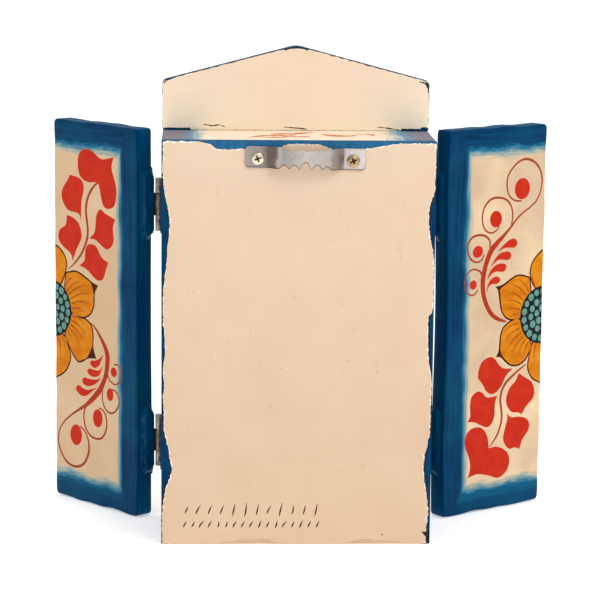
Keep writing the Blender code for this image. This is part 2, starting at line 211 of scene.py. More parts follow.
def makeBluePaint(name, spec=blueSpec, roughness=blueSpec["roughness"], sheen=blueSpec["sheen"]):
    # Artist's Prussian blue brushed on in a glossy coat: deep, streaked, a soft shine
    finish, tree, shader = newFinish(name, Roughness=roughness, Specular_IOR_Level=sheen)
    place = millimetres(tree, True)
    colour, streak = blueCoat(tree, place, 1, spec)
    coatShader(tree, shader, colour,
               ((streak, 0.35, 0.15), (brushed(tree, place, 7.0, 5.0), 0.5, 0.5)))
    return finish


fadeSpec = {
    "cream": ("d4b18b", "dfc09c"),
    "tones": ((0.0, "d9bd9b"), (0.2, "bdb7a2"), (0.38, "839f9f"), (0.58, "2a7290"),
              (0.78, "045078"), (1.0, "00304f")),
    "upright": (1.6, 26.0, 9.0), "level": (6.5, 1.3, 9.0), "wander": 17.0, "mottle": 28.0,
    "roughness": 0.45, "sheen": 0.05,
    # Heights in mm: where the teal of the foot comes in and goes out, and where shade comes in
    "footTeal": "0d7493", "footIn": (6.5, 13.0), "footOut": (14.0, 40.0), "shade": (60.0, 215.0),
}


def makeFade(name, edges, cream=fadeSpec["cream"], tones=fadeSpec["tones"], shade=0.0, foot=0.0,
             coated=True):
    # Cream field whose border fades through teal to blue under a dragged brush.
    # Each edge is the axis, where the field starts to fade and where it is all blue in mm,
    # and how ragged the brush leaves it. shade darkens the field upwards, foot is how teal the
    # blue turns along the lower edge.
    spec = fadeSpec
    finish, tree, shader = newFinish(
        name, Roughness=spec["roughness"], Specular_IOR_Level=spec["sheen"])
    place = millimetres(tree, True)
    split = addNode(tree, "SeparateXYZ", {0: place}).outputs
    borders = [None, None]
    for axis, clear, full, ragged in edges:
        drag = brushed(tree, place, spec["level" if axis else "upright"], clear * 0.37)
        slow = brushed(tree, place, spec["wander"], clear * 0.11, 1.0)
        wobble = addNode(tree, "Math", {0: drag, 1: slow}, operation="ADD")
        reach = abs(full - clear) * ragged
        shift = addNode(tree, "MapRange", {0: wobble, 1: 0.6, 2: 1.4, 3: -reach, 4: reach})
        moved = addNode(tree, "Math", {0: split[axis], 1: shift}, operation="ADD")
        mask = addNode(tree, "MapRange", {0: moved, 1: clear, 2: full})
        if borders[axis] is not None:
            mask = addNode(tree, "Math", {0: borders[axis], 1: mask}, operation="MAXIMUM")
        borders[axis] = mask
    border = addNode(tree, "Math", {0: borders[0], 1: borders[1]}, operation="MAXIMUM")
    isLevel = addNode(tree, "Math", {0: borders[1], 1: borders[0]}, operation="GREATER_THAN")

    upright, streak = blueCoat(tree, place, 1)
    footIn, footOut = spec["footIn"], spec["footOut"]
    low = addNode(tree, "MapRange", {0: split[1], 1: footIn[0], 2: footIn[1], 3: 0.1})
    high = addNode(tree, "MapRange", {0: split[1], 1: footOut[0], 2: footOut[1], 3: foot, 4: 0.0})
    atFoot = addNode(tree, "Math", {0: low, 1: high}, operation="MULTIPLY")
    lying = addNode(tree, "Mix", {0: atFoot, 6: blueCoat(tree, place, 0)[0], 7: spec["footTeal"]},
                    data_type="RGBA").outputs[2]
    blue = addNode(tree, "Mix", {0: isLevel, 6: upright, 7: lying}, data_type="RGBA").outputs[2]

    mottle = brushed(tree, place, spec["mottle"], 4.4)
    rise = addNode(tree, "MapRange",
                   {0: split[1], 1: spec["shade"][0], 2: spec["shade"][1], 4: shade})
    tone = addNode(tree, "Math", {0: mottle, 1: rise}, operation="SUBTRACT")
    field = addNode(tree, "ValToRGB", {0: tone}, zip((0.3, 0.7), cream))
    fade = addNode(tree, "ValToRGB", {0: border}, tones)
    onBorder = addNode(tree, "MapRange", {0: border, 1: 0.0, 2: 0.2})
    colour = addNode(tree, "Mix", {0: onBorder, 6: field, 7: fade}, data_type="RGBA").outputs[2]
    if coated:
        onBlue = addNode(tree, "MapRange", {0: border, 1: 0.7, 2: 1.0})
        colour = addNode(tree, "Mix", {0: onBlue, 6: colour, 7: blue}, data_type="RGBA").outputs[2]
    coatShader(tree, shader, colour,
               ((brushed(tree, place, 9.0, 6.0), 0.4, 0.5), (streak, 0.3, 0.12)))
    return finish


def makeStroke(name, dark, light, grain=6.0, roughness=0.45, sheen=0.06):
    # Opaque poster colour laid on by brush: flat, a little streaked
    finish, tree, shader = newFinish(name, Roughness=roughness, Specular_IOR_Level=sheen)
    tone = brushed(tree, millimetres(tree, True), grain, 11.0)
    colour = addNode(tree, "ValToRGB", {0: tone}, zip(noiseSpan, (dark, light))).outputs[0]
    coatShader(tree, shader, colour, ((tone, 0.2, 0.1),))
    return finish


finishes = {
    "creamPlaster": makePlaster("cream gesso plaster", plasterSpec["panel"],
                                paintedLight=plasterSpec["panelPaintedLight"]),
    "palePlaster": makePlaster("chipped plaster edge", plasterSpec["fringe"]),
    "gablePlaster": makePlaster("gable gesso plaster", plasterSpec["gable"], "level", 0.25,
                                plasterSpec["gablePaintedLight"]),
    "insidePlaster": makePlaster("inside cream paint", plasterSpec["inside"]),
    "blue": makeBluePaint("brushed prussian blue"),
    "litEdgeBlue": makeBluePaint("prussian blue on an edge with painted light", litEdgeBlueSpec),
    "litRimBlue": makeBluePaint("prussian blue rim with painted light", litRimBlueSpec),
    # The clots wear the edges' lighter blue, so they carry the same painted light
    "clot": makeBluePaint("clotted prussian blue", litEdgeBlueSpec, 0.3, 0.14),
    "wornEdgeAndShade": makeStroke("worn dark edge and painted shadow", "12151d", "2a2a2e", 1.5, 0.6, 0.1),
    "roofLine": makeStroke("dark blue roof line", "12304a", "2c4458", 9.0, 0.5, 0.08),
    "shadedPlasterFoot": makeStroke("plaster foot with painted shade", "cdab8c", "d8ba9b", (9.0, 1.5, 4.0), 0.7, 0.1),
    "leafRed": makeStroke("vermilion leaf paint", "c22812", "cb3019"),
    "stemRed": makeStroke("vermilion stem paint", "a82c14", "b8381e", 2.0),
    "fineRed": makeStroke("thinned vermilion line", "953a1f", "a6492b", 2.0),
    "petal": makeStroke("orange petal paint", "cc7204", "de8a14", (9.0, 6.0, 6.0)),
    "petalVein": makeStroke("brown petal line", "8a3c08", "a65416", 2.0),
    "maroon": makeStroke("maroon outline", "3c150e", "521f18", 2.0),
    "seedBlack": makeStroke("black flower disc", "10181c", "1c262a"),
    "seedDot": makeStroke("turquoise dots", "578880", "729c92", 1.5),
    "ink": makeStroke("brown ink", "3c1518", "572420", 1.5, 0.6, 0.1),
    "orangeStroke": makeStroke("thin orange stroke", "cf5c34", "e07c50", 3.0),
}
print("paint finishes made")


# Outlines, all in mm
def curvePoint(p0, p1, p2, p3, t):
    # Between p1 and p2 on the smooth curve through all four
    return 0.5 * (2 * p1 + (p2 - p0) * t + (2 * p0 - 5 * p1 + 4 * p2 - p3) * t * t
                  + (3 * p1 - p0 - 3 * p2 + p3) * t ** 3)


def smoothLoop(points, step=0.7):
    # Closed curve through the points. A third value marks a sharp corner.
    count = len(points)
    loop = []
    for index in range(count):
        p0, p1, p2, p3 = (points[(index + k) % count] for k in (-1, 0, 1, 2))
        a, b = Vector(p1[:2]), Vector(p2[:2])
        before = a - (b - a) * 0.3 if len(p1) > 2 else Vector(p0[:2])
        after = b + (b - a) * 0.3 if len(p2) > 2 else Vector(p3[:2])
        pieces = max(2, int((b - a).length / step))
        loop += [tuple(curvePoint(before, a, b, after, i / pieces)) for i in range(pieces)]
    return loop


def strokeBand(points, step=0.8, rough=0.0):
    # Outline of a brush line through (x, y, width) points
    stops = [Vector(p) for p in points]
    centre = []
    for p0, p1, p2, p3 in zip(stops[:1] + stops, stops, stops[1:], stops[2:] + stops[-1:]):
        pieces = max(2, int((p2 - p1).length / step))
        centre += [curvePoint(p0, p1, p2, p3, i / pieces) for i in range(pieces)]
    centre.append(stops[-1])
    left, right = [], []
    for index, point in enumerate(centre):
        ahead = centre[min(index + 1, len(centre) - 1)]
        way = (ahead - centre[max(index - 1, 0)]).xy.normalized()
        half = max(point.z, 0.12) / 2 * (1 + rough * noise.noise(point.xyz * 0.9))
        across = Vector((-way.y, way.x)) * half
        left.append(tuple(point.xy + across))
        right.append(tuple(point.xy - across))
    return left + right[::-1]


def dotShape(x, y, across, tall, tilt=0.0, sides=22):
    loop = []
    for index in range(sides):
        turn = 2 * math.pi * index / sides
        a, b = across * math.cos(turn), tall * math.sin(turn)
        loop.append((x + a * math.cos(tilt) - b * math.sin(tilt),
                     y + a * math.sin(tilt) + b * math.cos(tilt)))
    return loop


def commaLeaf(head, tail, radius, bow=0.12):
    # A leaf laid down in one press of the brush: round head, thin tail
    head, tail = Vector(head), Vector(tail)
    along = head - tail
    side = Vector((-along.y, along.x)) * bow
    points = []
    for share, width in ((0, 0.12), (0.2, 0.5), (0.42, 1.2), (0.65, 1.85), (0.85, 2.0),
                         (1.0, 1.5), (1.1, 0.3)):
        spot = tail + along * share + side * math.sin(math.pi * min(share, 1.0))
        points.append((spot.x, spot.y, width * radius))
    return strokeBand(points, 0.6)


def turnedLeft(loop):
    # The loop run counterclockwise
    area = sum(a[0] * b[1] - b[0] * a[1] for a, b in zip(loop, loop[1:] + loop[:1]))
    return loop if area > 0 else loop[::-1]


def pushedOut(loop, widthAt):
    # Each point moved outwards by its own width, inwards where that is negative
    loop = turnedLeft(loop)
    moved = []
    for index, point in enumerate(loop):
        way = (Vector(loop[(index + 1) % len(loop)]) - Vector(loop[index - 1])).normalized()
        moved.append(tuple(Vector(point) + Vector((way.y, -way.x)) * widthAt(index, point)))
    return moved


def evenLoop(loop, step):
    # The same closed line with a point every step mm
    even = []
    for a, b in zip(loop, loop[1:] + loop[:1]):
        a, b = Vector(a), Vector(b)
        pieces = max(1, round((b - a).length / step))
        even += [tuple(a.lerp(b, piece / pieces)) for piece in range(pieces)]
    return even


def boardOutline(low, high, corner, swell=None, step=3.0):
    # A sawn rectangle with rounded corners. swell says how far out each point is, in mm.
    turns = ((high[0] - corner, low[1] + corner, -90), (high[0] - corner, high[1] - corner, 0),
             (low[0] + corner, high[1] - corner, 90), (low[0] + corner, low[1] + corner, 180))
    loop = []
    for x, y, start in turns:
        for part in range(5):
            angle = math.radians(start + 90 * part / 4)
            loop.append((x + corner * math.cos(angle), y + corner * math.sin(angle)))
    loop = evenLoop(loop, step)
    return pushedOut(loop, lambda index, p: swell(p)) if swell else loop


def outerRing(polygons, firstOf=None):
    # The polygons' outer edge as a ring of their corners. firstOf picks where it starts.
    ways = {(a, b): True for corners in polygons
            for a, b in zip(corners, corners[1:] + corners[:1])}
    onward = {a: b for a, b in ways if (b, a) not in ways}
    ring = [firstOf(onward) if firstOf else next(iter(onward))]
    while onward[ring[-1]] != ring[0]:
        ring.append(onward[ring[-1]])
    return ring


# Boards: a painted front sheet, rounded edges and a back sheet
def outlineDistance(points, loop):
    # Distance in mm from each point to the closed line
    spots = np.array([(p[0], p[1]) for p in points])[:, None, :]
    a = np.array(loop)[None, :, :]
    along = np.roll(a, -1, axis=1) - a
    share = ((spots - a) * along).sum(2) / np.maximum((along ** 2).sum(2), 1e-12)
    nearest = a + np.clip(share, 0, 1)[:, :, None] * along
    return np.sqrt(((spots - nearest) ** 2).sum(2)).min(1)


def paintSheet(outline, creases, painted, spacing, extra=()):
    # Triangles inside the outline, cut along every painted shape. The last shape painted wins.
    spots, edges, faces = [], [], []

    def addLoop(loop, asFace):
        first = len(spots)
        spots.extend(Vector(p) for p in loop)
        ids = list(range(first, len(spots)))
        if asFace:
            faces.append(ids)
        else:
            edges.extend(zip(ids, ids[1:] + ids[:1]))

    addLoop(outline, True)
    for shape, _ in painted:
        addLoop(turnedLeft(shape), True)
    for crease in creases:
        addLoop(crease, False)
    lows, highs = np.min(outline, 0), np.max(outline, 0)
    spots.extend(Vector((x, y)) for x in np.arange(lows[0] + spacing / 2, highs[0], spacing)
                 for y in np.arange(lows[1] + spacing / 2, highs[1], spacing))
    spots.extend(Vector(p) for p in extra)
    made = delaunay_2d_cdt(spots, edges, faces, 1, 1e-5)
    places, triangles, owners = made[0], made[2], made[5]
    return places, [(tri, max(own)) for tri, own in zip(triangles, owners) if 0 in own]


def makeSheetMesh(name, places, faces, attribute, values):
    # A mesh that is smooth up to its sharp edges, with the places along it in mm
    mesh = bpy.data.meshes.new(name)
    mesh.from_pydata(places, [], faces)
    mesh.attributes.new(attribute, "FLOAT_VECTOR", "POINT").data.foreach_set("vector", values)
    mesh.shade_smooth()
    mesh.set_sharp_from_angle(angle=math.radians(40))
    return mesh


def paintedBoard(name, outline, thick, edge, toWorld, front, back, base, spacing=6.0, dropAt=None,
                 uneven=0.08, pimples=()):
    # front and back are painted shapes as (outline, finish). base is the finish of the front,
    # of the edges and of the back. dropAt gives the front's depth below its face. pimples are
    # small domes on the front as x, y, radius and height.
    outline = turnedLeft(outline)
    creases = [pushedOut(outline, lambda i, p, d=edge * share: -d) for share in (0.12, 0.45, 1.0)]
    keys, vertices, faces, slots = [], [], [], []

    def slotOf(key):
        if key not in keys:
            keys.append(key)
        return keys.index(key)

    def roundDrop(distance):
        return edge - math.sqrt(max(edge ** 2 - max(edge - distance, 0.0) ** 2, 0.0))

    def pimpleRise(place):
        rise = 0.0
        for x, y, radius, height in pimples:
            away = (Vector((x, y)) - place).length / radius
            if away < 0.999:
                rise = max(rise, height * (1 - away * away) ** 1.5)
        return rise

    def addSheet(loop, shapes, baseKey, isFront):
        rings, tops = list(creases), ()
        if isFront:
            rings += [dotShape(x, y, radius * r, radius * r, sides=n)
                      for x, y, radius, _ in pimples for r, n in ((1.0, 10), (0.72, 10), (0.38, 7))]
            tops = [p[:2] for p in pimples]
        places, triangles = paintSheet(loop, rings, shapes, spacing, tops)
        first = len(vertices)
        for place, distance in zip(places, outlineDistance(places, outline)):
            drop = dropAt(place, distance) if isFront and dropAt else roundDrop(distance)
            swell = pimpleRise(place) if isFront else 0.0
            if distance > edge:
                swell += uneven * noise.noise(Vector((place.x, place.y, thick)) / 19.0)
            vertices.append((place.x, place.y, thick - drop + swell if isFront else drop))
        for tri, owner in triangles:
            ids = [first + i for i in tri]
            faces.append(ids if isFront else ids[::-1])
            slots.append(slotOf(baseKey if owner == 0 else shapes[owner - 1][1]))
        return [first + i for i in outerRing([tri for tri, _ in triangles])]

    frontRing = addSheet(outline, front, base[0], True)
    ringPlaces = [vertices[i] for i in frontRing]
    backRing = addSheet([p[:2] for p in ringPlaces], back, base[2], False)
    spots = {(round(vertices[i][0], 3), round(vertices[i][1], 3)): i for i in backRing}
    matched = [spots.get((round(p[0], 3), round(p[1], 3))) for p in ringPlaces]
    if None in matched:
        raise ValueError(name + ": the two sheets' edges do not meet")
    rings = [frontRing]
    for share in (0.25, 0.5, 0.75):
        rings.append(list(range(len(vertices), len(vertices) + len(frontRing))))
        for start, stop in zip(frontRing, matched):
            vertices.append(tuple(Vector(vertices[start]).lerp(Vector(vertices[stop]), share)))
    rings.append(matched)
    for upper, lower in zip(rings, rings[1:]):
        for i, j in zip(range(len(upper)), (*range(1, len(upper)), 0)):
            faces.append((upper[i], lower[i], lower[j], upper[j]))
            slots.append(slotOf(base[1]))
    used = sorted({i for face in faces for i in face})
    renumber = {old: new for new, old in enumerate(used)}
    mesh = makeSheetMesh(
        name, [toWorld @ (Vector(vertices[i]) * mm) for i in used],
        [[renumber[i] for i in face] for face in faces],
        "sheetMm", [c for i in used for c in vertices[i]])
    for key in keys:
        mesh.materials.append(finishes[key])
    mesh.polygons.foreach_set("material_index", slots)
    if toWorld.determinant() < 0:
        mesh.flip_normals()
    print(" ", name, len(mesh.polygons), "faces")
    return addObject(name, mesh)


# Flowers, leaves and scrolls of the doors, in mm from the hinge edge and the foot
def flowerShapes(flower):
    # Petals with maroon outlines, a dark disc and rings of dots
    cx, cy = flower["centre"]
    disc = flower["disc"]
    shapes = [(smoothLoop(petal["outline"]), "maroon") for petal in flower["petals"]]
    for petal in flower["petals"]:
        inner = smoothLoop([p for p in petal["outline"] if len(p) == 2])
        tips = [Vector(p[:2]) for p in petal["outline"] if len(p) > 2]

        def lineWidth(index, point):
            # The outline swells towards the petal's tip
            swell = sum(math.exp(-(Vector(point) - tip).length / 5.5) for tip in tips)
            return -flower["line"] * (1 + 1.5 * swell)

        shapes.append((pushedOut(inner, lineWidth), "petal"))
        for turn, start, stop in petal["veins"]:
            way = (math.cos(math.radians(turn)), math.sin(math.radians(turn)))
            bent = (math.cos(math.radians(turn + 4)), math.sin(math.radians(turn + 4)))
            shapes.append((strokeBand([
                (cx + reach * x, cy + reach * y, width) for (x, y), reach, width in (
                    (way, start, 0.75), (way, (start + stop) / 2, 0.6), (bent, stop, 0.2))
            ]), "petalVein"))
    shapes.append((dotShape(cx, cy, disc, disc, sides=48), "seedBlack"))
    for radius, count, start in flower["rings"]:
        for index in range(count):
            turn = math.radians(start) + 2 * math.pi * index / count
            size = flower["dot"] * (1 + 0.08 * math.sin(index * 2.4))
            shapes.append((dotShape(cx + radius * math.cos(turn), cy + radius * math.sin(turn),
                                    size, size * 1.04, sides=14), "seedDot"))
    return shapes


rightDoor = {
    "joint": "door_right_hinge", "node": "door_right", "side": 1,
    # Where the hinge edge swells: height, how far and over what height
    "hingeEdge": ((60, 0.5, 30), (178, 0.4, 22)), "lump": 2.5,
    "stems": [
        [(32.6, 187.5, 0.9), (36.2, 185.4, 1.2), (40.2, 181.2, 1.5), (43.2, 175.6, 1.6),
         (44, 169.8, 1.6), (43, 163.6, 1.6), (42.4, 158.3, 1.6), (43.8, 152.6, 1.6),
         (47.9, 145.6, 1.4), (54.2, 139.2, 1), (60.2, 134.8, 0.4)],
        [(40.3, 106.4, 0.6), (36, 103.7, 1.2), (31.5, 99.1, 2), (27.9, 94.5, 2.7), (25.7, 90, 3.3),
         (25.6, 85, 3.3), (26.8, 78.6, 3.1), (28.8, 74.1, 3), (32.4, 68.6, 3.3), (37.9, 63.2, 3),
         (44.2, 58.2, 2.2), (51.5, 54, 1.4), (58.8, 49.5, 1), (65.1, 44.5, 0.9), (68.9, 39.5, 0.9),
         (70.1, 33.2, 1), (68.4, 27.6, 1.1), (64.2, 22.6, 1.2), (58.8, 20.1, 1.3),
         (52.4, 20.3, 1.4), (46.9, 23.2, 1.5), (43.2, 28.6, 1.5), (42.3, 34.1, 1.4),
         (43.8, 39.4, 1.1), (46.9, 43, 0.9), (50.6, 44.4, 0.8)],
        [(44.2, 58.2, 1), (46.4, 54, 1.1), (46.6, 48.7, 1.1), (44.7, 43.7, 1.1), (40.6, 40.5, 1.1),
         (35.6, 39.6, 1.1), (30.7, 41, 1.2), (27.3, 45.4, 1.2), (26.4, 50.5, 1.1), (27.5, 55, 1),
         (30.1, 57.4, 0.9), (33.5, 57.8, 0.8)],
        [(29.9, 70.5, 0.9), (30.1, 64.1, 0.9), (28.3, 59.4, 1), (24.2, 56.7, 1), (19.7, 57.6, 1),
         (16.2, 61.4, 1), (15.3, 65, 1), (16.9, 68.8, 1), (20.1, 70.4, 0.9), (23.6, 70, 0.7)],
        [(25.6, 79.5, 0.9), (23.8, 75.8, 0.9), (19.7, 73.8, 0.9), (15.8, 75.2, 0.9),
         (13.4, 79.5, 0.9), (14.2, 83.4, 0.9), (17, 85.5, 0.9), (19.9, 85, 0.7)],
    ],
    "dots": [(53.9, 38.8, 5.3, 6.2, 0.2), (34.3, 51.8, 4.3, 5.3, 0.15), (23.3, 67.3, 2.9, 3.7, 0.1),
             (20, 80.8, 2.7, 2.8, 0.0)],
    "commas": [
        [(40.9, 83.4, 0.5), (40.1, 83.3, 2.6), (38.5, 82.9, 3.9), (36.5, 82.9, 4.2),
         (34.2, 84, 3.6), (32.2, 85.8, 2.2), (30.6, 87.7, 1), (29.3, 89.2, 0.3)],
        [(43.6, 77.8, 0.5), (42.8, 77.8, 2.6), (41.3, 77.8, 3.8), (39, 77.5, 4.2),
         (36.5, 77.5, 4), (33.8, 78.2, 3), (31.9, 79.7, 1.6), (30.8, 81.2, 0.8), (29.7, 82.6, 0.3)],
        [(48.2, 71.8, 0.6), (47.4, 71.8, 3), (46, 71.7, 4.4), (43, 71.4, 4.5), (40, 71.8, 3.8),
         (37, 72.6, 2.7), (34.8, 73.5, 1.7), (33, 74.6, 1), (31.8, 75.5, 0.4)],
        [(53.8, 65.9, 0.6), (53, 66, 3.2), (51.3, 66.2, 4.7), (48.8, 65.2, 4.7), (46, 65, 4.1),
         (43.2, 65.6, 2.9), (40.6, 66.8, 1.7), (38.2, 68, 1), (35.6, 69.2, 0.3)],
    ],
    "leaves": [
        [(51.2, 196.5), (50.1, 201.9), (46.9, 204.6), (42.4, 205.4), (37.9, 204.4), (33.3, 201.9),
         (29.7, 200.8), (25.1, 201.5), (19.5, 202.8, 1), (21.2, 198.3), (20.8, 194.6),
         (17.9, 187.4), (17.2, 182.8), (18.8, 176), (23.3, 173.4), (27.4, 173.7), (29.7, 176.5),
         (31.5, 182.4), (32.9, 187, 1), (36.9, 187.1), (41.5, 186.7), (46.5, 187.8),
         (49.7, 190.5)],
        [(58.3, 189.4, 1), (50.6, 188.5), (47.1, 186.5), (45.8, 182.4), (47.9, 175.1),
         (48.5, 164.8, 1), (51, 168), (59.7, 169), (64.2, 172.8), (65.9, 177.4), (64.2, 181.9),
         (60.6, 186)],
        [(61.3, 166.1, 1), (56, 165.2), (50.6, 162.4), (48, 156.9), (48.6, 153.3), (52.9, 146.5),
         (56, 139.9, 1), (58, 144.2), (65.1, 147.8), (68.9, 151.9), (67.7, 156.9), (62.4, 160.3)],
        [(30.6, 172.3), (26.9, 170.4), (18.3, 167.9, 1), (20.3, 162.8), (19.7, 156.5),
         (21.5, 152.4), (25.6, 150.2), (29.7, 151.5), (35.6, 154.5), (41.2, 154.8, 1),
         (36.8, 158.3), (35.6, 162.8), (34.9, 168.3), (32.9, 171.5)],
        [(38.8, 151.7), (34.7, 150.5), (30.1, 145.1), (24.5, 142.8, 1), (26.9, 137.8),
         (28.8, 133.3), (32.4, 131.6), (36.5, 132.4), (43.3, 136.5), (50.3, 138.2, 1),
         (45.6, 141.5), (44.9, 146.5), (42.9, 150.7)],
    ],
    "flower": {
        "centre": (74.0, 110.5), "disc": 16.4, "line": 0.95, "dot": 1.95,
        "rings": ((13.2, 18, 4), (8.4, 11, 12), (3.9, 5, 20)),
        "petals": [
            {"outline": [(78, 150), (72.4, 148.3), (68.8, 147.2), (64.7, 144.6), (61.9, 141),
                         (61, 138), (61.7, 134.4), (62.9, 131.5), (66.9, 125), (74, 118),
                         (84, 130)],
             "veins": ((118, 17, 27), (131, 17, 24))},
            {"outline": [(62.9, 131.5), (58.8, 133.9), (54.2, 134.9), (49.7, 134.3), (44.2, 132.4),
                         (38.8, 130), (33.6, 128.6, 1), (36.2, 124.4), (36.6, 120.6), (36.9, 116.5),
                         (38.8, 112.6), (41.5, 110), (45.3, 108.4), (50, 107.9), (57.4, 109.5),
                         (64, 116)],
             "veins": ((128, 17, 28), (138, 17, 31), (146, 17, 34), (155, 17, 36), (164, 17, 33),
                       (173, 17, 28))},
            {"outline": [(57.4, 109.9), (49.7, 108.8), (44.8, 108.4), (40.6, 106.4), (38.3, 103.2),
                         (37.6, 98.6), (37.9, 92.3), (35.4, 86.2, 1), (42.4, 85.3), (46.9, 83),
                         (50.6, 81.7), (53.3, 82.6), (56.9, 85.5), (60.2, 89.8), (64.2, 96)],
             "veins": ((188, 17, 30), (197, 17, 31), (206, 17, 32), (214, 17, 30), (223, 17, 25))},
            {"outline": [(64, 96), (60.6, 90.9), (58.6, 86.8), (58.1, 83.4), (59.2, 79.8),
                         (61.9, 75.7), (66, 72.5), (70.6, 70.3), (75, 69), (84, 90), (74, 100)],
             "veins": ((232, 17, 27), (243, 17, 28), (254, 17, 30))},
        ],
    },
}

